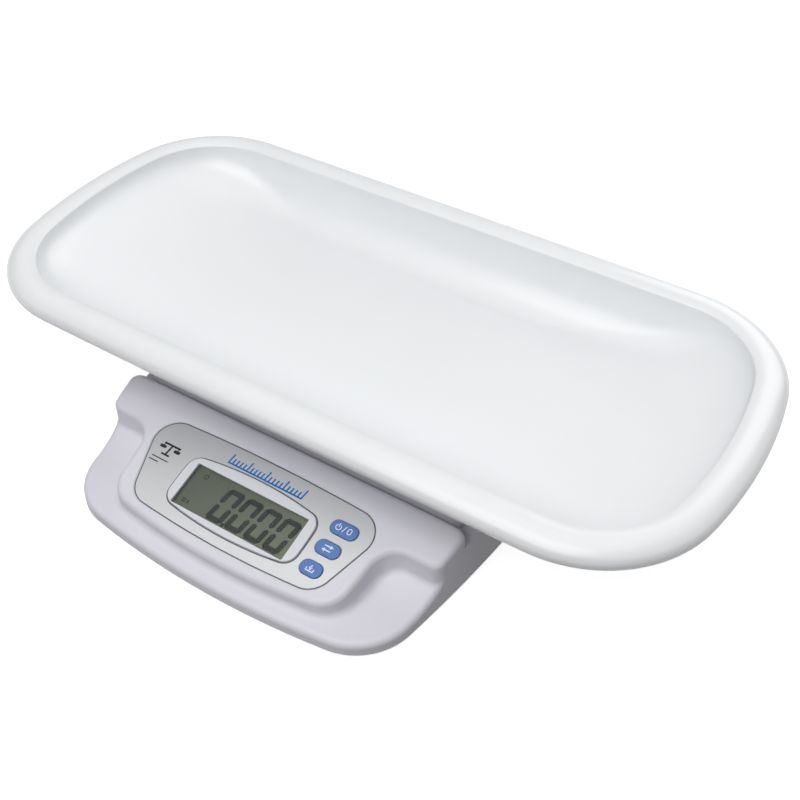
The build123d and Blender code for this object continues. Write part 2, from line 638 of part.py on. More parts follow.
def upper_housing():
    solid = rounded_form()
    inside = housing_form(HOUSING_WALL, -HOUSING_WALL)
    bosses = [post(x, y, FLOOR_TOP, FAR, BOSS_RADIUS) for x, y in housing_bosses()]
    bosses += [on_panel(u, v, BOARD_TOP, Cylinder(BOARD_BOSS_RADIUS, BOARD_DEPTH, align=LOW))
               for u, v in board_bosses()]
    shell = solid - inside
    for boss in bosses:
        shell += boss & solid
    head_hole = SPACER_LENGTH + 2 * HEAD_HOLE_GAP
    shell -= Pos(CELL_END, 0, 0) * Box(head_hole, CELL_WIDTH + 2 * HEAD_HOLE_GAP, 2 * FAR)
    for x, y in four(STOP_X, STOP_Y):
        shell -= post(x, y, 0, FAR, STOP_RADIUS + STOP_HOLE_GAP)
    shell -= panel_prism(film_face(FILM_GAP), FILM_FLOOR, FAR)
    shell -= panel_prism(view_face(WINDOW_MARGIN + WINDOW_GAP), -2 * HOUSING_WALL, FAR)
    for index in range(len(BUTTON_NAMES)):
        shell -= panel_prism(button_face(index, BUTTON_GAP), -2 * HOUSING_WALL, FAR)
    for x, y in housing_bosses():
        tip = FLOOR_BOTTOM + HOUSING_SCREW_HEAD_HEIGHT + HOUSING_SCREW_LENGTH + PILOT_MARGIN
        shell -= post(x, y, FLOOR_TOP, tip, HOUSING_SCREW_RADIUS + THREAD_GAP)
    for u, v in board_bosses():
        depth = BOARD_SCREW_LENGTH + PILOT_MARGIN
        pilot = Cylinder(BOARD_SCREW_RADIUS + THREAD_GAP, depth, align=LOW)
        shell -= on_panel(u, v, BOARD_BACK, pilot)
    notch = DOOR_LIP_HEIGHT + DOOR_GAP
    shell -= slab((-DOOR_HALF_WIDTH, BAY_BACK, -SPARE), (DOOR_HALF_WIDTH, FAR, notch))
    shell -= door_rails()
    shell -= Pos(JACK_X, BAY_BACK, JACK_Z) * Rot(-90, 0, 0) * Cylinder(
        JACK_TUBE_RADIUS + JACK_GAP, FAR, align=LOW)
    return shell


def door_rails():
    """Slots in which the tongues of the battery door slide."""
    reach = DOOR_HALF_WIDTH + TONGUE_WIDTH
    return slab((-reach, DOOR_FRONT, DOOR_TOP - TONGUE_THICKNESS - DOOR_GAP),
                (reach, FAR, DOOR_TOP + DOOR_GAP))


def lower_housing():
    gap = HOUSING_WALL + FLOOR_GAP
    plate = drafted(gap, FLOOR_BOTTOM, FLOOR_TOP)
    lap = drafted(gap, FLOOR_TOP, FLOOR_TOP + LAP_HEIGHT)
    lap -= drafted(gap + LAP_WALL, FLOOR_TOP, FLOOR_TOP + LAP_HEIGHT)
    floor = plate + lap
    for x in RIB_X:
        floor += slab((x - RIB_THICKNESS / 2, -RIB_FRONT, FLOOR_TOP - SPARE),
                      (x + RIB_THICKNESS / 2, -RIB_BACK, FLOOR_TOP + RIB_HEIGHT))
    wall = BAY_WALL
    floor += slab((-BAY_HALF_LENGTH - wall, BAY_FRONT - wall, FLOOR_TOP - SPARE),
                  (BAY_HALF_LENGTH + wall, BAY_BACK + wall, BAY_ROOF + wall))
    floor += slab((JACK_X - JACK_WIDTH / 2, jack_face() - JACK_DEPTH, FLOOR_TOP - SPARE),
                  (JACK_X + JACK_WIDTH / 2, jack_face() - SPARE, JACK_Z - JACK_HEIGHT / 2))
    floor -= slab((-BAY_HALF_LENGTH, BAY_FRONT, -SPARE), (BAY_HALF_LENGTH, BAY_BACK, BAY_ROOF))
    floor -= slab((-DOOR_HALF_WIDTH, DOOR_FRONT, -SPARE),
                  (DOOR_HALF_WIDTH, FAR, DOOR_TOP + DOOR_GAP))
    floor -= door_rails()
    for x, y in housing_bosses():
        floor -= post(x, y, -SPARE, FLOOR_TOP + SPARE, HOUSING_SCREW_RADIUS + SCREW_CLEARANCE)
        floor -= post(x, y, -SPARE, FLOOR_BOTTOM + HOUSING_SCREW_HEAD_HEIGHT,
                      HOUSING_SCREW_HEAD + SCREW_CLEARANCE)
    for x, y in pair(*FOOT_FRONT) + pair(*FOOT_BACK):
        floor -= post(x, y, -SPARE, FLOOR_TOP + SPARE, FOOT_STEM_RADIUS + FOOT_GAP)
    for x, y in four(BASE_SCREW_X, BASE_SCREW_Y):
        floor -= post(x, y, FLOOR_TOP - BASE_SCREW_HOLE, FLOOR_TOP, BASE_SCREW_RADIUS + THREAD_GAP)
    for x in (-CELL_BOLT_OUTER, -CELL_BOLT_INNER):
        floor -= post(x, 0, -SPARE, FLOOR_TOP + SPARE, CELL_BOLT_HEAD + SCREW_CLEARANCE)
    return floor


def housing_screws():
    one = screw(HOUSING_SCREW_RADIUS, HOUSING_SCREW_LENGTH, HOUSING_SCREW_HEAD,
                HOUSING_SCREW_HEAD_HEIGHT)
    height = FLOOR_BOTTOM + HOUSING_SCREW_HEAD_HEIGHT - SEAT_GAP
    return [Pos(x, y, height) * one for x, y in housing_bosses()]


def rubber_feet():
    shoulder = FLOOR_BOTTOM - SEAT_GAP
    catch = FLOOR_TOP + SEAT_GAP
    foot = post(0, 0, -FOOT_DROP, shoulder, FOOT_RADIUS)
    foot += post(0, 0, shoulder, catch, FOOT_STEM_RADIUS)
    foot += post(0, 0, catch, catch + FOOT_HEAD_HEIGHT, FOOT_HEAD_RADIUS)
    return [Pos(x, y, 0) * foot for x, y in pair(*FOOT_FRONT) + pair(*FOOT_BACK)]


def rating_plate():
    size = Box(PLATE_LENGTH, PLATE_WIDTH, PLATE_THICKNESS, align=LOW)
    return Pos(0, PLATE_Y, FLOOR_BOTTOM - PLATE_THICKNESS) * size


# ---- Panel, display and keys ----------------------------------------------------------
def overlay_panel():
    film = panel_prism(film_face(), FILM_FLOOR, FILM_FLOOR + FILM_THICKNESS)
    film -= panel_prism(bezel_face(-BEZEL_GAP), FILM_FLOOR - SPARE, FAR)
    for index in range(len(BUTTON_NAMES)):
        film -= panel_prism(button_face(index, BUTTON_GAP), FILM_FLOOR - SPARE, FAR)
    return film


def display_bezel():
    frame = extrude(bezel_face(), BEZEL_RISE + FILM_RECESS)
    frame = fillet(frame.edges().group_by(Axis.Z)[-1], BEZEL_ROUND)
    frame -= extrude(view_face(), FAR)
    return on_panel(0, 0, FILM_FLOOR, frame)


def display_window():
    return panel_prism(view_face(WINDOW_MARGIN), WINDOW_BACK, FILM_FLOOR)


def glass_face(grow=0.0):
    return view_face(WINDOW_MARGIN - GLASS_INSET + grow)


def lcd_panel():
    return panel_prism(glass_face(), GLASS_BACK, GLASS_TOP)


def lcd_holder():
    ring = glass_face(HOLDER_GAP + HOLDER_WALL) - glass_face(HOLDER_GAP)
    return panel_prism(ring, BOARD_TOP, -HOUSING_WALL)


def strip_middle():
    """V from the middle of the display to a contact strip."""
    return VIEW_HEIGHT / 2 + WINDOW_MARGIN - GLASS_INSET - STRIP_INSET - STRIP_WIDTH / 2


def contact_strips():
    length = VIEW_WIDTH - 2 * STRIP_INSET
    strip = Box(length, STRIP_WIDTH, GLASS_BACK - BOARD_TOP, align=LOW)
    return [on_panel(BEZEL_U, VIEW_V + side * strip_middle(), BOARD_TOP, strip) for side in (-1, 1)]


def lcd_backlight():
    depth = 2 * (strip_middle() - STRIP_WIDTH / 2 - LIGHT_GAP)
    plate = Box(VIEW_WIDTH - 2 * STRIP_INSET, depth, GLASS_BACK - BOARD_TOP, align=LOW)
    return on_panel(BEZEL_U, VIEW_V, BOARD_TOP, plate)


def button(index):
    cap = extrude(button_face(index), BUTTON_RISE - FLANGE_TOP)
    cap = fillet(cap.edges().group_by(Axis.Z)[-1], BUTTON_ROUND)
    cap = on_panel(0, 0, FLANGE_TOP, cap)
    return cap + panel_prism(button_face(index, FLANGE_MARGIN), FLANGE_BACK, FLANGE_TOP)


def plunger(index):
    length = FLANGE_BACK - (BOARD_TOP + SWITCH_HEIGHT) + PLUNGER_DEPTH
    rod = Cylinder(PLUNGER_RADIUS, length, align=LOW)
    return on_panel(*button_middle(index), FLANGE_BACK - length, rod)


def key_switches():
    body = Box(SWITCH_SIZE, SWITCH_SIZE, SWITCH_HEIGHT, align=LOW)
    depth = PLUNGER_DEPTH + BUTTON_TRAVEL + SWITCH_MARGIN
    body -= post(0, 0, SWITCH_HEIGHT - depth, SWITCH_HEIGHT, PLUNGER_RADIUS + PLUNGER_GAP)
    return [on_panel(*button_middle(index), BOARD_TOP, body) for index in range(len(BUTTON_NAMES))]


def main_board():
    middle = (BOARD_TOP_V + BOARD_BOTTOM_V) / 2
    size = Box(2 * BOARD_HALF_WIDTH, BOARD_TOP_V - BOARD_BOTTOM_V, BOARD_THICKNESS, align=LOW)
    board = on_panel(0, middle, BOARD_BACK, size)
    for u, v in board_bosses():
        hole = Cylinder(BOARD_SCREW_RADIUS + SCREW_CLEARANCE, BOARD_DEPTH)
        board -= on_panel(u, v, BOARD_BACK, hole)
    return board


def board_screws():
    one = screw(BOARD_SCREW_RADIUS, BOARD_SCREW_LENGTH, BOARD_SCREW_HEAD,
                BOARD_SCREW_HEAD_HEIGHT)
    return [on_panel(u, v, BOARD_BACK, one) for u, v in board_bosses()]


def processor():
    chip = Box(PROCESSOR_SIZE, PROCESSOR_SIZE, PROCESSOR_HEIGHT, align=LOW)
    return on_panel(PROCESSOR_U, 0, BOARD_BACK - PROCESSOR_HEIGHT, chip)


def buzzer():
    can = Cylinder(BUZZER_RADIUS, BUZZER_HEIGHT, align=LOW)
    return on_panel(BUZZER_U, 0, BOARD_BACK - BUZZER_HEIGHT, can)


def board_connector():
    block = Box(CONNECTOR_WIDTH, CONNECTOR_LENGTH, CONNECTOR_HEIGHT, align=LOW)
    return on_panel(CONNECTOR_U, CONNECTOR_V, BOARD_BACK - CONNECTOR_HEIGHT, block)


# ---- Platform ------------------------------------------------------------------------
def platform_cover():
    plan = RectangleRounded(2 * PLATFORM_HALF_WIDTH, 2 * PLATFORM_HALF_DEPTH, PLATFORM_CORNER)
    cover = extrude(plan, PLATFORM_TOP - PLATFORM_SKIRT)
    cover = Pos(0, 0, PLATFORM_SKIRT) * fillet(cover.edges().group_by(Axis.Z)[-1], PLATFORM_ROUND)
    hollow = RectangleRounded(2 * (PLATFORM_HALF_WIDTH - PLATFORM_WALL),
                              2 * (PLATFORM_HALF_DEPTH - PLATFORM_WALL),
                              PLATFORM_CORNER - PLATFORM_WALL)
    underside = PLATFORM_TOP - PLATFORM_WALL
    cover -= prism(hollow, PLATFORM_SKIRT - SPARE, underside)
    for x, y in four(SPIDER_ARM_X, SPIDER_ARM_Y):
        cover += post(x, y, SPIDER_TOP, underside + SPARE, COVER_BOSS_RADIUS)
    for x, y in four(SPIDER_ARM_X, SPIDER_ARM_Y):
        tip = SPIDER_BOTTOM + COVER_SCREW_LENGTH + PILOT_MARGIN
        cover -= post(x, y, SPIDER_TOP - SPARE, tip, COVER_SCREW_RADIUS + THREAD_GAP)
    for x, y in four(PEG_X, PEG_Y):
        cover -= post(x, y, underside - SPARE, PLATFORM_TOP + SPARE, PEG_RADIUS + PEG_GAP)
    return cover


def platform_spider():
    turn = degrees(atan2(SPIDER_ARM_Y, SPIDER_ARM_X))
    reach = 2 * hypot(SPIDER_ARM_X, SPIDER_ARM_Y)
    plan = Rectangle(SPIDER_HUB_LENGTH, SPIDER_HUB_WIDTH)
    plan += Rot(0, 0, turn) * SlotCenterToCenter(reach, SPIDER_ARM_WIDTH)
    plan += Rot(0, 0, -turn) * SlotCenterToCenter(reach, SPIDER_ARM_WIDTH)
    spider = prism(plan, SPIDER_BOTTOM, SPIDER_TOP)
    for x, y in four(SPIDER_ARM_X, SPIDER_ARM_Y):
        spider -= post(x, y, 0, FAR, COVER_SCREW_RADIUS + SCREW_CLEARANCE)
    for x in (CELL_BOLT_OUTER, CELL_BOLT_INNER):
        spider -= post(x, 0, 0, FAR, CELL_BOLT_RADIUS + SCREW_CLEARANCE)
    return spider


def platform_screws():
    one = screw(COVER_SCREW_RADIUS, COVER_SCREW_LENGTH, COVER_SCREW_HEAD, COVER_SCREW_HEAD_HEIGHT)
    return [Pos(x, y, SPIDER_BOTTOM) * one for x, y in four(SPIDER_ARM_X, SPIDER_ARM_Y)]


def platform_pads():
    return [post(x, y, PLATFORM_TOP, TRAY_UNDERSIDE, PAD_RADIUS) for x, y in four(PAD_X, PAD_Y)]


# ---- Load cell -----------------------------------------------------------------------
def load_cell():
    bar = Pos(0, 0, CELL_BOTTOM) * Box(CELL_LENGTH, CELL_WIDTH, CELL_HEIGHT, align=LOW)
    eye = Plane.XZ * Pos(0, CELL_BOTTOM + CELL_HEIGHT / 2) * SlotCenterToCenter(
        CELL_HOLE_SPACING, 2 * CELL_HOLE_RADIUS)
    bar -= extrude(eye, CELL_WIDTH, both=True)
    for x in (CELL_BOLT_OUTER, CELL_BOLT_INNER):
        bar -= post(x, 0, 0, FAR, CELL_BOLT_RADIUS + THREAD_GAP)
        bar -= post(-x, 0, 0, FAR, CELL_BOLT_RADIUS + THREAD_GAP)
    return bar


def spacer(side, low, high):
    block = Box(SPACER_LENGTH, CELL_WIDTH, high - low, align=LOW)
    block = Pos(side * CELL_END, 0, low) * block
    for x in (CELL_BOLT_OUTER, CELL_BOLT_INNER):
        block -= post(side * x, 0, 0, FAR, CELL_BOLT_RADIUS + SCREW_CLEARANCE)
    return block


def cell_bolts(side, seat, toward):
    """Two bolts whose heads sit at the seat and whose shanks run towards the cell."""
    near = CELL_BOTTOM if toward > 0 else CELL_TOP
    bolt = screw(CELL_BOLT_RADIUS, abs(near - seat) + CELL_BOLT_GRIP, CELL_BOLT_HEAD,
                 CELL_BOLT_HEAD_HEIGHT)
    if toward < 0:
        bolt = Rot(180, 0, 0) * bolt
    return [Pos(side * x, 0, seat) * bolt for x in (CELL_BOLT_OUTER, CELL_BOLT_INNER)]


def load_cell_base():
    plate = Box(2 * BASE_PLATE_HALF_LENGTH, 2 * BASE_PLATE_HALF_WIDTH, BASE_PLATE_THICKNESS,
                align=LOW)
    plate = Pos(0, 0, FLOOR_TOP) * plate
    for x, y in four(BASE_SCREW_X, BASE_SCREW_Y):
        plate -= post(x, y, 0, FAR, BASE_SCREW_RADIUS + SCREW_CLEARANCE)
    for x in (-CELL_BOLT_OUTER, -CELL_BOLT_INNER):
        plate -= post(x, 0, 0, FAR, CELL_BOLT_RADIUS + SCREW_CLEARANCE)
    return plate


def base_screws():
    one = Rot(180, 0, 0) * screw(BASE_SCREW_RADIUS, BASE_PLATE_THICKNESS + BASE_SCREW_GRIP,
                                 COVER_SCREW_HEAD, COVER_SCREW_HEAD_HEIGHT)
    return [Pos(x, y, BASE_PLATE_TOP) * one for x, y in four(BASE_SCREW_X, BASE_SCREW_Y)]


def overload_stops():
    stop = post(0, 0, BASE_PLATE_TOP, STOP_TOP, STOP_RADIUS)
    stop += post(0, 0, BASE_PLATE_TOP, BASE_PLATE_TOP + STOP_NUT_HEIGHT, STOP_NUT_RADIUS)
    return [Pos(x, y, 0) * stop for x, y in four(STOP_X, STOP_Y)]


def load_cell_lead():
    """Cable from the side of the load cell to the connector under the main board."""
    start = Vector(LEAD_START_X, -CELL_WIDTH / 2, LEAD_START_Z)
    plug_w = BOARD_BACK - CONNECTOR_HEIGHT
    below = on_panel(CONNECTOR_U, CONNECTOR_V, plug_w - LEAD_DROP, Vertex(0, 0, 0)).center()
    plug = on_panel(CONNECTOR_U, CONNECTOR_V, plug_w, Vertex(0, 0, 0)).center()
    points = [start] + [Vector(*point) for point in LEAD_ROUTE] + [below, plug]
    radii = []
    for before, corner, after in zip(points, points[1:], points[2:]):
        run_in = corner - before
        run_out = after - corner
        half_turn = radians(run_in.get_angle(run_out)) / 2
        radii.append(LEAD_BEND * min(run_in.length, run_out.length) / tan(half_turn))
    print("lead bend radii", [round(radius, 1) for radius in radii])
    path = FilletPolyline(*points, radius=radii)
    return sweep(Plane(origin=start, z_dir=points[1] - start) * Circle(LEAD_RADIUS), path=path)


# ---- Batteries and power --------------------------------------------------------------
def cell_rows():
    first = BAY_MIDDLE - CELL_PITCH * (CELL_COUNT - 1) / 2
    return [first + CELL_PITCH * row for row in range(CELL_COUNT)]


def cell_height():
    return BAY_ROOF - CELL_RADIUS - DOOR_GAP


def batteries():
    cells = []
    for row, y in enumerate(cell_rows()):
        way = 1 if row % 2 else -1
        body = Cylinder(CELL_RADIUS, CELL_BODY, align=LOW)
        body += Pos(0, 0, CELL_BODY) * Cylinder(CELL_NUB_RADIUS, CELL_NUB, align=LOW)
        body = Rot(0, way * 90, 0) * body
        for start in (-CELL_BODY - CELL_NUB, 0.0):
            shift = start if way > 0 else -start
            cells.append(Pos(shift, y, cell_height()) * body)
    return cells


def battery_contacts():
    """Sprung plates at both ends of every row of cells."""
    plates = []
    for y in cell_rows():
        for side in (-1, 1):
            plate = Box(CONTACT_SIZE, CONTACT_SIZE, CONTACT_THICKNESS, align=LOW)
            plate += Pos(0, 0, CONTACT_THICKNESS) * Cone(
                CONTACT_SPRING_RADIUS, CONTACT_TIP_RADIUS, CONTACT_SPRING_LENGTH, align=LOW)
            plate = Rot(0, -side * 90, 0) * plate
            plates.append(Pos(side * BAY_HALF_LENGTH, y, cell_height()) * plate)
    return plates


def battery_door():
    half = DOOR_HALF_WIDTH - DOOR_GAP
    front = DOOR_FRONT + DOOR_GAP
    within = drafted(HOUSING_WALL, 0.0, DOOR_LIP_HEIGHT)
    door = slab((-half, front, FLOOR_BOTTOM), (half, FAR, DOOR_TOP)) & within
    rail = half + TONGUE_WIDTH
    door += slab((-rail, front, DOOR_TOP - TONGUE_THICKNESS),
                 (rail, HOUSING_BACK - TONGUE_END_GAP, DOOR_TOP))
    lip = drafted(0.0, 0.0, DOOR_LIP_HEIGHT) - within
    door += lip & slab((-half, BAY_BACK, FLOOR_BOTTOM), (half, FAR, DOOR_LIP_HEIGHT))
    for index in range(GRIP_COUNT):
        y = BAY_BACK - GRIP_PITCH * index
        door -= slab((-GRIP_LENGTH / 2, y, 0), (GRIP_LENGTH / 2, y + GRIP_WIDTH,
                                                FLOOR_BOTTOM + GRIP_DEPTH))
    return door


def jack_face():
    """Y of the inside of the housing's back wall beside the power socket."""
    sag = HOUSING_BACK_BOW - sqrt(HOUSING_BACK_BOW**2 - (JACK_X + JACK_WIDTH)**2)
    lean = tan(radians(DRAFT)) * (JACK_Z + JACK_HEIGHT)
    return HOUSING_BACK - HOUSING_WALL - sag - lean


def power_socket():
    face = jack_face()
    body = slab((JACK_X - JACK_WIDTH / 2, face - JACK_DEPTH, JACK_Z - JACK_HEIGHT / 2),
                (JACK_X + JACK_WIDTH / 2, face, JACK_Z + JACK_HEIGHT / 2))
    along = Rot(-90, 0, 0)
    body += Pos(JACK_X, face, JACK_Z) * along * Cylinder(JACK_TUBE_RADIUS, HOUSING_WALL, align=LOW)
    mouth = face + HOUSING_WALL
    bottom = Pos(JACK_X, mouth - JACK_BORE_DEPTH, JACK_Z)
    body -= bottom * along * Cylinder(JACK_BORE_RADIUS, JACK_BORE_DEPTH, align=LOW)
    pin = Cylinder(JACK_PIN_RADIUS, JACK_BORE_DEPTH - JACK_PIN_DEPTH, align=LOW)
    return body + bottom * along * pin


def main():
    os.makedirs("parts", exist_ok=True)
    save("tray", tray())
    save("upper_housing", upper_housing())
    save("lower_housing", lower_housing())
    save("housing_screws", *housing_screws())
    save("rubber_feet", *rubber_feet())
    save("rating_plate", rating_plate())
    save("overlay_panel", overlay_panel())
    save("display_bezel", display_bezel())
    save("display_window", display_window())
    save("lcd_panel", lcd_panel())
    save("lcd_holder", lcd_holder())
    save("contact_strips", *contact_strips())
    save("lcd_backlight", lcd_backlight())
    for index, name in enumerate(BUTTON_NAMES):
        save(f"button_{name}", button(index))
        save(f"plunger_{name}", plunger(index))
    save("key_switches", *key_switches())
    save("main_board", main_board())
    save("board_screws", *board_screws())
    save("processor", processor())
    save("buzzer", buzzer())
    save("board_connector", board_connector())
    save("platform_cover", platform_cover())
    save("platform_spider", platform_spider())
    save("platform_screws", *platform_screws())
    save("platform_pads", *platform_pads())
    save("load_cell", load_cell())
    save("load_cell_foot", spacer(-1, BASE_PLATE_TOP, CELL_BOTTOM))
    save("load_cell_head", spacer(1, CELL_TOP, SPIDER_BOTTOM))
    save("fixed_end_bolts", *cell_bolts(-1, FLOOR_TOP, 1))
    save("free_end_bolts", *cell_bolts(1, SPIDER_TOP, -1))
    save("load_cell_base", load_cell_base())
    save("base_screws", *base_screws())
    save("overload_stops", *overload_stops())
    save("load_cell_lead", load_cell_lead())
    save("batteries", *batteries())
    save("battery_contacts", *battery_contacts())
    save("battery_door", battery_door())
    save("power_socket", power_socket())


main()
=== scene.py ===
import json
from math import atan2, copysign, cos, hypot, pi, radians, sin, sqrt

import bmesh
import bpy
from mathutils import Matrix, Vector

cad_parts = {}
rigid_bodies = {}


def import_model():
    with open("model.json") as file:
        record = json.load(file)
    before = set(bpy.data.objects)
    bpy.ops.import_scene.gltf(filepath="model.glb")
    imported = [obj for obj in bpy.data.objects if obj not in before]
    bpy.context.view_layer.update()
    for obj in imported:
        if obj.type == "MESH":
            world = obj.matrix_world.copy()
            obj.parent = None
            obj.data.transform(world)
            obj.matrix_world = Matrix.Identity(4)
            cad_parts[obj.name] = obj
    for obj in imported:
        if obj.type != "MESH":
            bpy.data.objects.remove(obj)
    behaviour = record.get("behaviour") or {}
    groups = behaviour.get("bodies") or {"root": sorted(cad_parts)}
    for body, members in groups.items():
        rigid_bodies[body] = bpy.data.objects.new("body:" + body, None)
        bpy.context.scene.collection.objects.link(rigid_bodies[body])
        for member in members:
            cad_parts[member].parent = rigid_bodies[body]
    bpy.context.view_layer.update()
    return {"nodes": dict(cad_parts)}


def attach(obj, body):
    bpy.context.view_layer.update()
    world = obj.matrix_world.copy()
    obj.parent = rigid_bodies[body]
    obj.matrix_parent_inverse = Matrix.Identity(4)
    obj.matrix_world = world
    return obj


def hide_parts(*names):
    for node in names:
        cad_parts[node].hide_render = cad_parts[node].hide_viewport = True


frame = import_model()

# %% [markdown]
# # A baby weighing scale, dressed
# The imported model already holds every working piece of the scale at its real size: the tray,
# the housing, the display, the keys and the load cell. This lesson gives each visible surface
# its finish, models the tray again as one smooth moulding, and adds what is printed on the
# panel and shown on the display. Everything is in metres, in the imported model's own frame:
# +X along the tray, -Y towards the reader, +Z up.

MM = 0.001
SCENE = bpy.context.scene


def only(*pieces):
    """Makes these pieces the only selected ones, and the last of them active."""
    for other in list(bpy.context.selected_objects):
        other.select_set(False)
    for piece in pieces:
        piece.select_set(True)
    bpy.context.view_layer.objects.active = pieces[-1]


def named(name):
    """Names the piece that was just added, and its mesh, and returns it."""
    piece = bpy.context.object
    piece.name = piece.data.name = name
    return piece


def settle():
    """Puts the active piece's place, turn and scale into its mesh."""
    bpy.ops.object.transform_apply(location=True, rotation=True, scale=True)


def pick(kind, test):
    """In edit mode, selects only the vertices, edges or faces that pass the test."""
    bpy.ops.mesh.select_mode(type=kind)
    bpy.ops.mesh.select_all(action="DESELECT")
    mesh = bmesh.from_edit_mesh(bpy.context.object.data)
    parts = {"VERT": mesh.verts, "EDGE": mesh.edges, "FACE": mesh.faces}[kind]
    for part in parts:
        if test(part):
            part.select_set(True)
    mesh.select_flush_mode()
    bmesh.update_edit_mesh(bpy.context.object.data)


def middle(part):
    """Middle of an edge or a face."""
    return sum((v.co for v in part.verts), Vector()) / len(part.verts)


# %% [markdown]
# ## Camera
# The reader stands in front of the scale and a little to its right, and looks down on it.
# A 49 mm lens some 0.83 m away gives the slight convergence of a table-top picture.
# The camera is turned by less than a degree about its own view, so the turn comes last.

# %% Camera
CAMERA_AIM = Vector((22.08, 36.6, 19.48)) * MM
CAMERA_TURN = radians(33.52)            # to the right of the reader's place
CAMERA_HEIGHT = radians(43.64)
CAMERA_DISTANCE = 828.4 * MM
CAMERA_ROLL = radians(-0.76)
CAMERA_LENS = 49.2                      # millimetres, on a sensor this wide
CAMERA_SENSOR = 36.0
CAMERA_PLACE = CAMERA_AIM + CAMERA_DISTANCE * Vector(
    (sin(CAMERA_TURN) * cos(CAMERA_HEIGHT), -cos(CAMERA_TURN) * cos(CAMERA_HEIGHT),
     sin(CAMERA_HEIGHT)))

bpy.ops.object.camera_add(location=CAMERA_PLACE)
camera = named("camera")
look = (CAMERA_AIM - CAMERA_PLACE).to_track_quat("-Z", "Y").to_matrix()
camera.rotation_euler = (look @ Matrix.Rotation(CAMERA_ROLL, 3, "Z")).to_euler()
camera.data.lens = CAMERA_LENS
camera.data.sensor_width = CAMERA_SENSOR
SCENE.camera = camera
SCENE.view_settings.view_transform = "Standard"
print("camera", camera.location[:], "lens", CAMERA_LENS)

# %% [markdown]
# ## Writing shaders as sums
# A finish is easier to read as a sum than as a tree of nodes. `Value` wraps one output socket
# and turns +, -, * and / into Math nodes. `Finish` holds one material and adds every other
# kind of node with a single method: its settings first, then what goes into its sockets.

# %% Shader helpers
class Value:
    """A number or colour that varies over a surface."""

    def __init__(self, finish, socket):
        self.finish = finish
        self.socket = socket

    def join(self, operation, left, right):
        """What a Math node makes of two values or numbers."""
        return self.finish.node("ShaderNodeMath", {"operation": operation}, {0: left, 1: right})

    def __add__(self, other):
        return self.join("ADD", self, other)

    def __sub__(self, other):
        return self.join("SUBTRACT", self, other)

    def __rsub__(self, other):
        return self.join("SUBTRACT", other, self)

    def __mul__(self, other):
        return self.join("MULTIPLY", self, other)

    def __truediv__(self, other):
        return self.join("DIVIDE", self, other)

    __radd__ = __add__
    __rmul__ = __mul__


class Finish:
    """One material, with the surface shader ready."""

    def __init__(self, name):
        self.material = bpy.data.materials.new(name)
        self.material.use_nodes = True
        self.tree = self.material.node_tree
        self.tree.nodes.clear()
        self.output = self.tree.nodes.new("ShaderNodeOutputMaterial")
        self.shader = self.tree.nodes.new("ShaderNodeBsdfPrincipled")
        self.tree.links.new(self.shader.outputs[0], self.output.inputs["Surface"])

    def feed(self, node, sockets):
        """Links or sets a node's sockets."""
        for key, value in sockets.items():
            if isinstance(value, Value):
                self.tree.links.new(value.socket, node.inputs[key])
            else:
                node.inputs[key].default_value = value

    def node(self, kind, settings, sockets, output=0):
        """Adds a node and gives one of its outputs."""
        node = self.tree.nodes.new(kind)
        for key, value in settings.items():
            setattr(node, key, value)
        self.feed(node, sockets)
        return Value(self, node.outputs[output])

    def surface(self, **sockets):
        """Sockets of the surface shader, with _ for a space in a socket's name."""
        self.feed(self.shader, {key.replace("_", " "): v for key, v in sockets.items()})

    def bare(self):
        """The surface shader itself, to be mixed with another."""
        return Value(self, self.shader.outputs[0])

    def surface_from(self, shader):
        """Shows this shader in place of the bare one."""
        self.tree.links.new(shader.socket, self.output.inputs["Surface"])

    def place(self):
        """Where a point lies, in metres, in the model's own frame."""
        return self.node("ShaderNodeTexCoord", {}, {}, "Object")

    def axis(self, name):
        """One coordinate of that place."""
        return self.node("ShaderNodeSeparateXYZ", {}, {0: self.place()}, name)

    def noise(self, size, detail=2.0, seed=(0, 0, 0), stretch=(1, 1, 1)):
        """Noise from 0 to 1 whose lumps are about this size, in metres."""
        spot = self.node("ShaderNodeMapping", {}, {0: self.place(), 1: seed, 3: stretch})
        return self.node("ShaderNodeTexNoise", {}, {"Vector": spot, "Scale": 1 / size,
                                                    "Detail": detail}, "Fac")

    def capped_sum(self, left, right):
        """Sum of two shares, kept between 0 and 1."""
        return self.node("ShaderNodeMath", {"operation": "ADD", "use_clamp": True},
                         {0: left, 1: right})

    def blend(self, share, one, other):
        """Colour that goes from one to the other as the share goes from 0 to 1."""
        return self.node("ShaderNodeMix", {"data_type": "RGBA"},
                         {0: share, 6: one, 7: other}, 2)

    def relief(self, height, depth):
        """Normal of a surface whose height goes from 0 to 1 over this depth, in metres."""
        return self.node("ShaderNodeBump", {},
                         {"Height": height, "Distance": depth, "Strength": 1.0})


def srgb(red, green, blue):
    """A colour as a screen shows it, 0 to 255, in the linear values of a shader."""
    def linear(part):
        part = part / 255
        return part / 12.92 if part <= 0.04045 else ((part + 0.055) / 1.055) ** 2.4
    return linear(red), linear(green), linear(blue), 1.0


def shade(colour, factor):
    """The same colour, lighter or darker by a factor."""
    return tuple(part * factor for part in colour[:3]) + (1.0,)


print("helpers ready")

# %% [markdown]
# ## Moulded plastics
# Three plastics show: the tray is a glossy white, the housing a finely spark-eroded cool
# white, the keys a satin blue. A moulding is never one flat colour. It carries a faint
# unevenness a few centimetres across, where the melt flowed, and a fine grain that breaks up
# its gloss. One function makes them all from a colour, a gloss, and the depth of the grain.

# %% Plastics
MELT_SIZE = 60 * MM                     # width of the uneven patches
MELT_GLOSS, GRAIN_GLOSS = 0.06, 0.05    # how much patches and grain change the gloss
COAT_ROUGHNESS = 0.12
ACRYLIC_IOR = 1.49


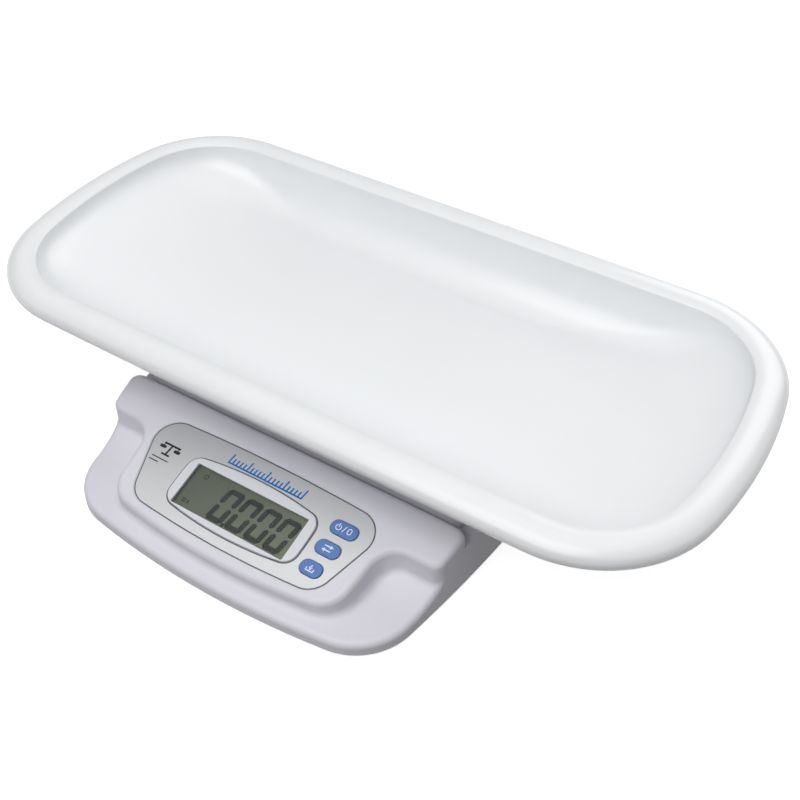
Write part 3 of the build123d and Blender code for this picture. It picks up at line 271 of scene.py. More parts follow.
def plastic(name, colour, gloss, grain, depth, flow=0.015, coat=0.0):
    """Moulded plastic: grain is the size of the texture's lumps, depth their height."""
    finish = Finish(name)
    drift = finish.noise(MELT_SIZE, 3.0, (3, 1, 7))
    lumps = finish.noise(grain, 3.0)
    rough = gloss + MELT_GLOSS * drift + GRAIN_GLOSS * lumps - GRAIN_GLOSS
    finish.surface(Base_Color=finish.blend(drift, shade(colour, 1 - flow), shade(colour, 1 + flow)),
                   Roughness=rough, Normal=finish.relief(lumps, depth),
                   Coat_Weight=coat, Coat_Roughness=COAT_ROUGHNESS, IOR=ACRYLIC_IOR)
    return finish.material


TRAY_WHITE = plastic("tray_white", srgb(239, 241, 243), 0.32, 1.2 * MM, 0.004 * MM, coat=0.25)
HOUSING_WHITE = plastic("housing_white", srgb(224, 223, 231), 0.5, 0.5 * MM, 0.02 * MM)
# The platform cover is the housing's white painted a little darker, as painted shade for the shadow
# it stands in under the tray.
PLATFORM_WHITE_SHADED = plastic("platform_white_painted_shade", srgb(214, 213, 219), 0.5, 0.5 * MM, 0.02 * MM)
BEZEL_WHITE = plastic("bezel_white", srgb(222, 223, 229), 0.36, 0.4 * MM, 0.006 * MM, coat=0.1)
INNER_WHITE = plastic("inner_white", srgb(222, 221, 214), 0.5, 0.8 * MM, 0.02 * MM)
KEY_BLUE = plastic("key_blue", srgb(86, 124, 188), 0.35, 0.4 * MM, 0.008 * MM, 0.03, 0.15)
CHIP_BLACK = plastic("chip_black", srgb(38, 38, 41), 0.55, 0.3 * MM, 0.01 * MM, 0.05)
FOOT_GREY = plastic("foot_grey", srgb(70, 70, 73), 0.82, 0.5 * MM, 0.05 * MM, 0.06)
CABLE_GREY = plastic("cable_grey", srgb(150, 150, 154), 0.5, 0.6 * MM, 0.02 * MM)
STRIP_BLACK = plastic("strip_black", srgb(50, 48, 50), 0.7, 0.4 * MM, 0.02 * MM, 0.05)
print("plastics", [m.name for m in bpy.data.materials])

# %% [markdown]
# ## Metals and the rest inside
# Screws, brackets and the load cell only show when the scale is opened or lifted, but each
# gets its own finish: rolled steel with a fine grain along it, milled aluminium with cutter
# lines, green laminate with a faint weave, and dark battery jackets with a band of foil.

# %% Metals and laminate
STAIN_SIZE, STAIN_SHADE = 9 * MM, 0.86
WEAVE_SCALE = 260.0
VARNISH_PATCH = 5 * MM
JACKET_LENGTH = 50.2 * MM               # of one cell, which lies along X
FOIL_START = 38 * MM


def metal(name, colour, rough, grain, stretch, depth):
    """Metal whose grain is drawn out along one axis."""
    finish = Finish(name)
    lines = finish.noise(grain, 4.0, (0, 0, 0), stretch)
    stain = finish.noise(STAIN_SIZE, 2.0, (5, 5, 5))
    finish.surface(Base_Color=finish.blend(stain, shade(colour, STAIN_SHADE), colour),
                   Metallic=1.0, Roughness=rough + 0.12 * lines,
                   Normal=finish.relief(lines, depth))
    return finish.material


def laminate(name, colour):
    """Glass-fibre board: a woven ground under a thin green varnish."""
    finish = Finish(name)
    weave = finish.node("ShaderNodeTexWave", {"wave_type": "BANDS", "bands_direction": "X"},
                        {"Vector": finish.place(), "Scale": WEAVE_SCALE, "Distortion": 0.6})
    patch = finish.noise(VARNISH_PATCH, 2.0)
    finish.surface(Base_Color=finish.blend(0.6 * weave + 0.4 * patch, shade(colour, 0.75), colour),
                   Roughness=0.32 + 0.1 * patch, Normal=finish.relief(weave, 0.01 * MM))
    return finish.material


def jacket(name, colour, tip):
    """Battery jacket: a plain body with a paler band of foil at one end of each cell."""
    finish = Finish(name)
    band = finish.node("ShaderNodeMath", {"operation": "PINGPONG"},
                       {0: finish.axis("X"), 1: JACKET_LENGTH})
    edge = finish.node("ShaderNodeMath", {"operation": "GREATER_THAN"},
                       {0: band, 1: FOIL_START})
    scuffs = finish.noise(2 * MM, 4.0)
    finish.surface(Base_Color=finish.blend(edge, colour, tip),
                   Metallic=0.6, Roughness=0.28 + 0.15 * scuffs)
    return finish.material


STEEL = metal("zinc_steel", srgb(205, 206, 210), 0.28, 0.8 * MM, (0.15, 1, 1), 0.004 * MM)
SCREW_STEEL = metal("screw_steel", srgb(196, 197, 202), 0.25, 0.5 * MM, (1, 1, 0.3), 0.003 * MM)
SPRING_STEEL = metal("spring_steel", srgb(214, 210, 200), 0.22, 0.5 * MM, (1, 1, 0.3), 0.003 * MM)
ALUMINIUM = metal("milled_aluminium", srgb(218, 220, 223), 0.3, 0.7 * MM, (1, 0.08, 1), 0.006 * MM)
BOARD_GREEN = laminate("board_green", srgb(38, 104, 60))
CELL_JACKET = jacket("cell_jacket", srgb(60, 66, 78), srgb(190, 160, 110))
print("metals and laminate ready")

# %% [markdown]
# ## The panel's film, the display and the window
# The film is silver-printed polyester. Its silver is darker towards the upper left and lighter
# towards the lower right, and a very fine sparkle sits under a satin face. The display's glass
# is grey-green and a little greener towards the lower right, and the window in front of it is
# thin clear acrylic: mostly see-through, with just enough of a surface to catch the light.

# %% Film, display and window
PANEL_ORIGIN = Vector((0, -123.3, 35.836)) * MM
PANEL_TILT = radians(15.0)
PANEL_TURN = Matrix.Rotation(PANEL_TILT, 4, "X")
PANEL = Matrix.Translation(PANEL_ORIGIN) @ PANEL_TURN
FILM_LENGTH, FILM_WIDTH = 196 * MM, 64 * MM
VIEW_LENGTH, VIEW_WIDTH = 94 * MM, 34 * MM
ORIGIN_SHARE = 0.45                     # the panel's origin, as a share of the way up
FADE_DOWN, FADE_RIGHT, FADE_LEAST = 0.75, 0.4, 0.1
SPARKLE_SIZE = 0.25 * MM
GREEN_RIGHT, GREEN_DOWN = 0.7, 0.3
HAZE_SIZE, SMEAR_SIZE, PINHOLE_SIZE = 0.6 * MM, 14 * MM, 0.18 * MM


def silver_film(name, dark, light):
    """Silver film that turns lighter downwards and to the right, with a fine sparkle."""
    finish = Finish(name)
    across = finish.axis("X") / FILM_LENGTH + 0.5
    up = (finish.axis("Y") - PANEL_ORIGIN.y) / FILM_WIDTH + ORIGIN_SHARE
    fade = finish.capped_sum(FADE_DOWN * (1 - up) + FADE_LEAST, FADE_RIGHT * across)
    sparkle = finish.noise(SPARKLE_SIZE, 2.0)
    tone = finish.blend(fade, dark, light)
    finish.surface(Base_Color=finish.blend(0.12 * sparkle, tone, shade(light, 0.7)),
                   Metallic=0.15, Roughness=0.36 + 0.1 * sparkle,
                   Normal=finish.relief(sparkle, 0.004 * MM), Coat_Weight=0.15,
                   Coat_Roughness=0.3)
    return finish.material


def display_glass(name, left, right):
    """Display's face, which turns greener to the right and downwards."""
    finish = Finish(name)
    across = finish.axis("X") / VIEW_LENGTH + 0.5
    down = (PANEL_ORIGIN.y - finish.axis("Y")) / VIEW_WIDTH + ORIGIN_SHARE
    share = finish.capped_sum(GREEN_RIGHT * across, GREEN_DOWN * down)
    haze = finish.noise(HAZE_SIZE, 3.0)
    finish.surface(Base_Color=finish.blend(share, left, right),
                   Roughness=0.42 + 0.05 * haze, Normal=finish.relief(haze, 0.002 * MM),
                   Specular_IOR_Level=0.2)
    return finish.material


def clear_window(name, tint):
    """Clear acrylic, nearly all see-through."""
    finish = Finish(name)
    smear = finish.noise(SMEAR_SIZE, 3.0)
    finish.surface(Base_Color=tint, Roughness=0.06 + 0.08 * smear, IOR=ACRYLIC_IOR,
                   Alpha=0.02 + 0.02 * smear)
    return finish.material


def ink(name, colour, rough):
    """Printed ink: dense, with dust-size pinholes."""
    finish = Finish(name)
    pinholes = finish.noise(PINHOLE_SIZE, 3.0)
    finish.surface(Base_Color=finish.blend(pinholes, shade(colour, 0.88), shade(colour, 1.1)),
                   Roughness=rough + 0.1 * pinholes, Specular_IOR_Level=0.2)
    return finish.material


FILM = silver_film("silver_film", srgb(176, 178, 182), srgb(227, 228, 229))
LABEL = silver_film("label_silver", srgb(205, 206, 210), srgb(226, 226, 230))
GLASS = display_glass("display_glass", srgb(84, 90, 80), srgb(112, 120, 98))
WINDOW = clear_window("clear_window", srgb(214, 220, 214))
SEGMENT_INK = ink("segment_ink", srgb(36, 40, 41), 0.5)
FAINT_INK = ink("faint_ink", srgb(30, 32, 32), 0.5)
BLUE_INK = ink("blue_ink", srgb(10, 112, 192), 0.4)
BLACK_INK = ink("black_ink", srgb(48, 48, 50), 0.45)
# Painted shade: the dark line in the groove round the film and in the gap round the display's
# frame.
GAP_SHADE_PAINT = ink("painted_gap_shade", srgb(104, 104, 108), 0.45)
PALE_INK = ink("pale_ink", srgb(226, 236, 252), 0.4)
print("panel finishes ready")

# %% [markdown]
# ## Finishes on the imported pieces
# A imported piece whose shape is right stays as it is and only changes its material.

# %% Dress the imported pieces
DRESS = {
    HOUSING_WHITE: ["upper_housing", "lower_housing", "battery_door"],
    PLATFORM_WHITE_SHADED: ["platform_cover"],
    BEZEL_WHITE: ["display_bezel"],
    INNER_WHITE: ["lcd_holder", "lcd_backlight", "key_switches", "board_connector",
                  "plunger_zero", "plunger_mode", "plunger_memory"],
    KEY_BLUE: ["button_zero", "button_mode", "button_memory"],
    CHIP_BLACK: ["processor", "buzzer", "power_socket"],
    FOOT_GREY: ["rubber_feet", "platform_pads"],
    CABLE_GREY: ["load_cell_lead"],
    STRIP_BLACK: ["contact_strips"],
    STEEL: ["platform_spider", "load_cell_base"],
    SCREW_STEEL: ["housing_screws", "board_screws", "platform_screws", "fixed_end_bolts",
                  "free_end_bolts", "base_screws", "overload_stops"],
    SPRING_STEEL: ["battery_contacts"],
    ALUMINIUM: ["load_cell", "load_cell_foot", "load_cell_head"],
    BOARD_GREEN: ["main_board"],
    CELL_JACKET: ["batteries"],
    FILM: ["overlay_panel"],
    LABEL: ["rating_plate"],
    GLASS: ["lcd_panel"],
    WINDOW: ["display_window"],
}
for material, nodes in DRESS.items():
    for node in nodes:
        slots = frame["nodes"][node].data.materials
        slots.clear()
        slots.append(material)
print("dressed", sum(len(nodes) for nodes in DRESS.values()), "packed pieces")

# %% [markdown]
# ## The tray
# The tray is one moulding: a flat floor, sides that curve up to a mouth, and a rim rolled
# outwards and down like the edge of a bath. A curve swept round the rim would give the roll
# but not the inside, whose slope is gentle at the two ends and steep at the front and back.
# So the tray is built as a boat builder lofts a hull: one level line is drawn for each height,
# every line with the same number of points, and neighbouring lines are bridged with faces.
# Each line starts as a plane whose corners are rounded by a bevel of its corner points. Its
# points are then bowed onto three arcs that meet smoothly: a long side, which is almost
# straight, a well rounded end, and the corner between them.

# %% Tray: one level line
TRAY_MIDDLE = 36.6 * MM
SIDE_BOW = 26000.0 * MM                 # plan radius of the long sides, on the rim's middle
END_BOW = 330.0 * MM                    # plan radius of the short ends
CORNER_POINTS = 18
LONG_SIDE_CUTS = 17
SHORT_SIDE_CUTS = 9


def bowed(x, y, half_length, half_width, corner, out):
    """Where a point of a round-cornered rectangle lies once its sides are bowed."""
    side, end = SIDE_BOW + out, END_BOW + out
    run, rise = half_length - end, side - half_width        # between the two arcs' middles
    gap = hypot(run, rise)
    near, far = side - corner, end - corner
    along = (gap ** 2 + near ** 2 - far ** 2) / (2 * gap)
    across = sqrt(near ** 2 - along ** 2)
    middle_x = (run * along + rise * across) / gap
    middle_y = (rise * along - run * across) / gap - rise
    side_turn = atan2(middle_x, middle_y + rise)
    end_turn = atan2(middle_y, middle_x - run)
    if x <= half_length - corner:
        turn = side_turn * x / (half_length - corner)
        return side * sin(turn), side * cos(turn) - rise
    if y <= half_width - corner:
        turn = end_turn * y / (half_width - corner)
        return run + end * cos(turn), end * sin(turn)
    share = atan2(y - half_width + corner, x - half_length + corner) / (pi / 2)
    turn = end_turn + share * (pi / 2 - side_turn - end_turn)
    return middle_x + corner * cos(turn), middle_y + corner * sin(turn)


def level_line(half_length, half_width, corner, out, height):
    """Closed line at one height, with bowed sides and round corners."""
    bpy.ops.mesh.primitive_plane_add(size=2.0)
    line = named("level_line")
    line.scale = (half_length, half_width, 1)
    settle()
    bpy.ops.object.mode_set(mode="EDIT")
    bpy.ops.mesh.select_all(action="SELECT")
    bpy.ops.mesh.bevel(affect="VERTICES", offset=corner, segments=CORNER_POINTS, profile=0.5)
    bpy.ops.mesh.select_all(action="SELECT")
    bpy.ops.mesh.delete(type="ONLY_FACE")
    pick("EDGE", lambda edge: abs(middle(edge).x) < MM)
    bpy.ops.mesh.subdivide(number_cuts=LONG_SIDE_CUTS)
    pick("EDGE", lambda edge: abs(middle(edge).y) < MM)
    bpy.ops.mesh.subdivide(number_cuts=SHORT_SIDE_CUTS)
    bpy.ops.object.mode_set(mode="OBJECT")
    for point in line.data.vertices:
        x, y = bowed(abs(point.co.x), abs(point.co.y), half_length, half_width, corner, out)
        point.co = (copysign(x, point.co.x), copysign(y, point.co.y) + TRAY_MIDDLE, height)
    return line


# %% [markdown]
# The section of the tray is a list of such lines. They start at the lip under the outside of
# the rim, climb its tight outer side, cross its broad flat crown, meet the inner wall at a soft
# ridge, and follow a quarter of an ellipse down to the floor. A line on the roll lies beside
# the rim's middle line, all the way round, so its arcs grow with it. Every line of the dish
# keeps its own length, width and corner, from the mouth's to the floor's.

# %% Tray: its section
RIM_HEIGHT = 99.5 * MM                  # middle of the roll's outer side
RIM_HALF_LENGTH = 272.95 * MM
RIM_HALF_WIDTH = 121.95 * MM
RIM_CORNER = 74.9 * MM
SIDE_RADIUS = 7.5 * MM                  # the roll's tight outer side
SIDE_OUT = 6.85 * MM
CROWN_RADIUS = 18.135 * MM              # the roll's broad crown
CROWN_DROP = 8.135 * MM
ROLL_LIP = radians(-65.0)               # where the roll ends, below its outer side
ROLL_SHOULDER = radians(49.9)           # where the side meets the crown
ROLL_RIDGE = radians(119.0)             # where the crown meets the wall inside
SIDE_STEPS, CROWN_STEPS = 14, 10
# Level lines of the dish: half length, half width, corner, out from the rim's middle, height
MOUTH = (264.16 * MM, 113.16 * MM, 66.11 * MM, -8.79 * MM, 105.23 * MM)
FLOOR = (118.0 * MM, 76.0 * MM, 56.0 * MM, 0.0, 66.0 * MM)
DISH_STEPS = 18


def roll_line(out, height):
    """Level line beside the rim's middle line, further out by so much."""
    return (RIM_HALF_LENGTH + out, RIM_HALF_WIDTH + out, RIM_CORNER + out, out,
            RIM_HEIGHT + height)


section = []
for step in range(SIDE_STEPS):
    turn = ROLL_LIP + (ROLL_SHOULDER - ROLL_LIP) * step / SIDE_STEPS
    section.append(roll_line(SIDE_OUT + SIDE_RADIUS * cos(turn), SIDE_RADIUS * sin(turn)))
for step in range(CROWN_STEPS + 1):
    turn = ROLL_SHOULDER + (ROLL_RIDGE - ROLL_SHOULDER) * step / CROWN_STEPS
    section.append(roll_line(CROWN_RADIUS * cos(turn), CROWN_RADIUS * sin(turn) - CROWN_DROP))
RIDGE = len(section) - 1                # the line along the ridge inside the rim
for step in range(DISH_STEPS, -1, -1):
    turn = pi / 2 * step / DISH_STEPS
    shares = (sin(turn),) * 4 + (1 - cos(turn),)
    section.append(tuple(low + (high - low) * share
                         for low, high, share in zip(FLOOR, MOUTH, shares)))
print("tray section of", len(section), "level lines")

# %% Tray: lofted skin
lines = [level_line(*measures) for measures in section]
LINE_POINTS = len(lines[0].data.vertices)
only(*reversed(lines))
bpy.ops.object.join()
tray = named("tray_moulding")
bpy.ops.object.mode_set(mode="EDIT")
for index in range(len(section) - 1):
    first, last = index * LINE_POINTS, (index + 2) * LINE_POINTS
    pick("EDGE", lambda edge: len(edge.link_faces) < 2
         and all(first <= point.index < last for point in edge.verts))
    bpy.ops.mesh.bridge_edge_loops()
FLOOR_INSETS = (4 * MM, 22 * MM)
pick("EDGE", lambda edge: len(edge.link_faces) < 2 and middle(edge).z < FLOOR[4] + MM)
bpy.ops.mesh.edge_face_add()
for inset in FLOOR_INSETS:
    bpy.ops.mesh.inset(thickness=inset)
bpy.ops.mesh.select_all(action="SELECT")
bpy.ops.mesh.normals_make_consistent(inside=False)
floor_face = max(bmesh.from_edit_mesh(tray.data).faces, key=lambda face: face.calc_area())
if floor_face.normal.z < 0:
    bpy.ops.mesh.flip_normals()
print("tray skin", len(tray.data.vertices), "points")

# %% [markdown]
# The skin is the side that shows. The ridge inside the rim gets a small radius, so that it
# catches a thin line of light. Solidify then gives the wall its 3 mm towards the hidden side,
# Bevel breaks the two edges of the lip, and one Subdivision rounds the whole outline.

# %% Tray: ridge, wall and feet
TRAY_WALL = 3.0 * MM
RIDGE_RADIUS = 0.9 * MM
LIP_RADIUS = 0.7 * MM
LIP_ANGLE = radians(65)                 # sharper edges than this are the lip's


def finish_with(piece, kind, **settings):
    """Adds a modifier and applies it."""
    only(piece)
    modifier = piece.modifiers.new(kind.title(), kind)
    for key, value in settings.items():
        setattr(modifier, key, value)
    bpy.ops.object.modifier_apply(modifier=modifier.name)


pick("EDGE", lambda edge: all(RIDGE * LINE_POINTS <= point.index
                              < (RIDGE + 1) * LINE_POINTS for point in edge.verts))
bpy.ops.mesh.bevel(offset=RIDGE_RADIUS, segments=3, profile=0.5)
bpy.ops.object.mode_set(mode="OBJECT")
finish_with(tray, "SOLIDIFY", thickness=TRAY_WALL, offset=-1.0, use_even_offset=True)
finish_with(tray, "BEVEL", width=LIP_RADIUS, segments=2, limit_method="ANGLE",
            angle_limit=LIP_ANGLE)
finish_with(tray, "SUBSURF", levels=1, render_levels=1)

PEG_RADIUS = 5.0 * MM
PEG_LOW, PEG_HIGH = 54.5 * MM, 64.0 * MM
PEG_X, PEG_Y = 58.0 * MM, 50.0 * MM
PEG_POINTS = 32
SMOOTH_BELOW = radians(40)
pegs = []
for x, y in ((-PEG_X, -PEG_Y), (PEG_X, -PEG_Y), (-PEG_X, PEG_Y), (PEG_X, PEG_Y)):
    bpy.ops.mesh.primitive_cylinder_add(
        vertices=PEG_POINTS, radius=PEG_RADIUS, depth=PEG_HIGH - PEG_LOW,
        location=(x, TRAY_MIDDLE + y, (PEG_LOW + PEG_HIGH) / 2))
    peg = named("tray_peg")
    settle()
    bpy.ops.object.mode_set(mode="EDIT")
    pick("EDGE", lambda edge: all(point.co.z < PEG_LOW + MM for point in edge.verts))
    bpy.ops.mesh.bevel(offset=MM, segments=3, profile=0.5)
    bpy.ops.object.mode_set(mode="OBJECT")
    pegs.append(peg)
only(*pegs, tray)
bpy.ops.object.join()
bpy.ops.object.shade_smooth_by_angle(angle=SMOOTH_BELOW)
tray.data.materials.clear()
tray.data.materials.append(TRAY_WHITE)
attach(tray, "tray")
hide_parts("tray")
print("tray", len(tray.data.polygons), "faces", [round(side / MM, 2) for side in tray.dimensions])

# %% [markdown]
# ## Marks on the panel
# The panel slopes, so its marks are drawn flat and then laid on it together. `lay` takes a
# flat drawing in millimetres, with u to the right, v up the slope and w out of the panel, and
# turns it onto the slope. Each mark is a thin plate, as ink or a liquid-crystal segment is.

# %% Panel drawing helpers
INK_THICKNESS = 0.03 * MM


def plate(half_length, half_width, u=0.0, v=0.0, cut=0.0, turn=0.0, segments=1):
    """Flat bar from its half sizes and its middle, in millimetres, turned by so many
    degrees; its corners are cut or, with more segments, rounded."""
    bpy.ops.mesh.primitive_plane_add(size=2.0)
    bar = named("plate")
    bar.scale = (half_length * MM, half_width * MM, 1)
    settle()
    if cut:
        bpy.ops.object.mode_set(mode="EDIT")
        bpy.ops.mesh.select_all(action="SELECT")
        bpy.ops.mesh.bevel(affect="VERTICES", offset=cut * MM, segments=segments, profile=0.5)
        bpy.ops.object.mode_set(mode="OBJECT")
    bar.rotation_euler = (0, 0, radians(turn))
    bar.location = (u * MM, v * MM, 0)
    settle()
    return bar


def ring(half_length, half_width, corner, stroke, u=0.0, v=0.0):
    """Flat closed band: a plate whose inner face is inset and taken out."""
    band = plate(half_length, half_width, cut=corner, segments=8)
    bpy.ops.object.mode_set(mode="EDIT")
    bpy.ops.mesh.select_mode(type="FACE")
    bpy.ops.mesh.select_all(action="SELECT")
    bpy.ops.mesh.inset(thickness=stroke * MM)
    bpy.ops.mesh.delete(type="FACE")
    bpy.ops.object.mode_set(mode="OBJECT")
    band.location = (u * MM, v * MM, 0)
    settle()
    return band


def lay(name, parts, w, finish, body, slant=0.0):
    """Joins flat parts, leans them by the slant in degrees, makes them as thick as ink
    and lays them on the slope, w millimetres out of the panel."""
    only(*parts)
    bpy.ops.object.join()
    piece = named(name)
    lean = Matrix.Identity(4)
    lean[0][1] = sin(radians(slant))
    piece.data.transform(lean)
    bpy.ops.object.mode_set(mode="EDIT")
    bpy.ops.mesh.select_all(action="SELECT")
    bpy.ops.mesh.normals_make_consistent(inside=False)
    for face in bmesh.from_edit_mesh(piece.data).faces:
        if face.normal.z < 0:
            face.normal_flip()
    bpy.ops.object.mode_set(mode="OBJECT")
    finish_with(piece, "SOLIDIFY", thickness=INK_THICKNESS, offset=1.0)
    piece.matrix_world = PANEL @ Matrix.Translation((0, 0, w * MM))
    only(piece)
    settle()
    piece.data.materials.clear()
    piece.data.materials.append(finish)
    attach(piece, body)
    return piece


print("panel helpers ready")

# %% [markdown]
# ## The figures on the display
# A seven-segment figure is one bar drawn six times for a nought: bars meet at cut corners, and
# the whole figure leans to the right. A flat and an upright bar are modelled once and copied,
# each copy with its own mesh. The display shows four noughts and a point, an empty scale that
# has settled, with two faint marks on its left.

# %% Display figures
FIGURE_COUNT = 4
FIGURE_PITCH = 15.9
FIGURE_FIRST = -12.6                    # middle of the first figure
FIGURE_MIDDLE = -2.6
FIGURE_HALF_WIDTH = 4.9                 # to the middle of the upright bars
FIGURE_HALF_HEIGHT = 11.4               # to the middle of the top bar
STROKE = 1.95                           # half of a bar's width
BAR_GAP = 1.0                           # from the figure's waist to an upright bar
FIGURE_LEAN = 9.0
FIGURE_W = -2.17                        # on the display's glass, under the window
POINT_HALF = 1.35
POINT_U, POINT_V = FIGURE_FIRST + 6.2, FIGURE_MIDDLE - 12.3


def copy(piece):
    """A copy with its own mesh."""
    only(piece)
    bpy.ops.object.duplicate(linked=False)
    return bpy.context.object


def moved(piece, u, v, turn=0.0):
    """Turns and moves a flat piece, in millimetres and degrees."""
    only(piece)
    piece.rotation_euler = (0, 0, radians(turn))
    piece.location = (u * MM, v * MM, 0)
    settle()
    return piece


UPRIGHT_HALF = (FIGURE_HALF_HEIGHT + STROKE * 0.5 - BAR_GAP) / 2
flat_bar = plate(FIGURE_HALF_WIDTH + STROKE * 0.7, STROKE, cut=1.7)
upright_bar = plate(UPRIGHT_HALF, STROKE, cut=1.3, turn=90)


def nought():
    """Six bars round the middle of the drawing."""
    parts = [moved(copy(flat_bar), 0, FIGURE_HALF_HEIGHT),
             moved(copy(flat_bar), 0, -FIGURE_HALF_HEIGHT)]
    for side in (-1, 1):
        for level in (-1, 1):
            parts.append(moved(copy(upright_bar), side * FIGURE_HALF_WIDTH,
                               level * (BAR_GAP + UPRIGHT_HALF)))
    return parts


for index in range(FIGURE_COUNT):
    figure = lay(f"figure_{index + 1}", nought(), 0, SEGMENT_INK, "base",
                 FIGURE_LEAN)
    shift = PANEL_TURN @ Vector(((FIGURE_FIRST + index * FIGURE_PITCH) * MM,
                                 FIGURE_MIDDLE * MM, FIGURE_W * MM))
    figure.data.transform(Matrix.Translation(shift))
only(flat_bar, upright_bar)
bpy.ops.object.delete()
lay("figure_point", [plate(POINT_HALF, POINT_HALF, POINT_U, POINT_V, cut=0.5, segments=3)],
    FIGURE_W, SEGMENT_INK, "base")
lay("figure_zero_mark", [ring(1.7, 1.9, 1.6, 0.6, -38.5, 9.4)], FIGURE_W, FAINT_INK, "base")
lay("figure_steady_mark",
    [plate(1.9, 0.45, -42.0, -11.0, cut=0.2), plate(1.9, 0.45, -42.0, -12.8, cut=0.2),
     plate(0.5, 1.4, -38.6, -11.9, cut=0.2)], FIGURE_W, FAINT_INK, "base")
print("display figures done")

# %% [markdown]
# ## Printing on the film
# The film carries no words. Above the display runs a blue graduation, as on a ruler: a base
# line with a tall stroke at every fifth place. On the left is a small drawn balance, with two
# fine lines under it. All of it is plate ink, kept within the film's flat top.

# %% Graduation and balance mark
FILM_W = -0.1                           # the film's top, out of the panel
TICK_PITCH = 3.1
TICK_COUNT = 21
TICK_U, TICK_V = -34.0, 25.6            # left end of the base line
TICK_STROKE = 0.6                       # half of a stroke's width
TICK_TALL, TICK_SHORT, TALL_EVERY = 3.7, 2.2, 5
GRADUATION_SLANT, MARK_SLANT = 8.0, 6.0
HALF_RUN = TICK_PITCH * (TICK_COUNT - 1) / 2
ticks = [plate(HALF_RUN + TICK_STROKE, TICK_STROKE, TICK_U + HALF_RUN, TICK_V)]
for index in range(TICK_COUNT):
    half = TICK_SHORT if index % TALL_EVERY else TICK_TALL
    ticks.append(plate(TICK_STROKE, half, TICK_U + TICK_PITCH * index, TICK_V + half))
lay("film_graduation", ticks, FILM_W, BLUE_INK, "base", GRADUATION_SLANT)

MARK_U, MARK_V = -76.5, 13.5            # middle of the balance's post
BEAM_HALF, POST_HALF = 7.2, 4.2
PAN_OUT = 6.2                           # from the post to the middle of a pan
LINE_HALVES = (7.2, 4.0)                # the fine lines, level with each other on the left
LINE_LEFT, LINE_TOP, LINE_STEP = -8.4, -8.0, 3.0
balance = [plate(BEAM_HALF, 0.75, MARK_U, MARK_V + POST_HALF),
           plate(0.7, POST_HALF, MARK_U, MARK_V), plate(3.6, 0.7, MARK_U, MARK_V - 4.0)]
for side in (-1, 1):
    balance.append(plate(2.8, 1.2, MARK_U + side * PAN_OUT, MARK_V + 1.2, cut=1.1, segments=3))
    balance.append(plate(0.3, 1.4, MARK_U + side * PAN_OUT, MARK_V + 3.2))
for line, half in enumerate(LINE_HALVES):
    balance.append(plate(half, 0.4, MARK_U + (half + LINE_LEFT),
                         MARK_V + LINE_TOP - LINE_STEP * line))
lay("film_balance_mark", balance, FILM_W, BLACK_INK, "base", MARK_SLANT)
print("film print done")

# %% [markdown]
# ## Painted shade round the film
# A film set into a housing sits in a narrow groove, and the display's frame stands in a narrow
# gap in the film. Both lie in shade, painted here as one fine dark strip: a copy of the film's
# top, inset by the line's width, keeps only the band between its old and its new outlines. The
# strip lies just above the film, as ink does, and leaves out the openings round the keys.

# %% Painted gap shade round the film
SHADE_LINE_WIDTH = 0.9
SHADE_LINE_DEPTH = 0.05                       # faces further below the top than this are left out
KEYS = {"zero": (70.8, 19.8), "mode": (68.7, 3.35), "memory": (66.6, -13.1)}
KEY_CLEAR = 12.5                        # no dark line within this reach of a key's middle
only(bpy.data.objects["overlay_panel"])
bpy.ops.object.duplicate(linked=False)
gap_shade_strip = named("gap_shade_copy")
bpy.ops.object.parent_clear(type="CLEAR_KEEP_TRANSFORM")
settle()
for key in list(gap_shade_strip.keys()):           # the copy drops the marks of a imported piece
    del gap_shade_strip[key]
gap_shade_strip.data.transform(PANEL.inverted())
bpy.ops.object.mode_set(mode="EDIT")
pick("FACE", lambda face: face.normal.z < 0.9 or middle(face).z < (FILM_W - SHADE_LINE_DEPTH) * MM)
bpy.ops.mesh.delete(type="FACE")
bpy.ops.mesh.select_all(action="SELECT")
bpy.ops.mesh.remove_doubles(threshold=0.001 * MM)
bpy.ops.mesh.dissolve_limited(angle_limit=radians(1))
bpy.ops.mesh.select_all(action="SELECT")
bpy.ops.mesh.inset(thickness=SHADE_LINE_WIDTH * MM, use_boundary=True)
bpy.ops.mesh.delete(type="FACE")
pick("FACE", lambda face: any((middle(face).xy - Vector(key) * MM).length < KEY_CLEAR * MM
                              for key in KEYS.values()))
bpy.ops.mesh.delete(type="FACE")
bpy.ops.object.mode_set(mode="OBJECT")
gap_shade_strip.data.transform(Matrix.Translation((0, 0, -FILM_W * MM)))
print("border", len(gap_shade_strip.data.polygons), "faces")
lay("painted_gap_shade_line", [gap_shade_strip], FILM_W, GAP_SHADE_PAINT, "base")

# %% [markdown]
# ## Signs on the keys
# Three pale signs, printed on the blue keys: an open ring with a stroke for switching on and,
# past a slanting bar, a nought for zeroing; two opposed arrows for changing mode; and an arrow
# that drops into a tray for storing a reading. The open ring is a band with a few faces taken
# out at its top.

# %% Key signs
KEY_W = 1.2                             # the keys' top, out of the panel
SHAFT_HALF = 0.45                       # half of an arrow's shaft's width
HEAD_RADIUS = 1.7


def arrow(u, v, turn, length=2.6):
    """Shaft and head, pointing to the right before it is turned."""
    bpy.ops.mesh.primitive_circle_add(vertices=3, radius=HEAD_RADIUS * MM, fill_type="NGON",
                                      rotation=(0, 0, radians(-90)))
    head = named("head")
    settle()
    head = moved(head, length, 0)
    shaft = plate(length, SHAFT_HALF)
    only(shaft, head)
    bpy.ops.object.join()
    return moved(bpy.context.object, u, v, turn)


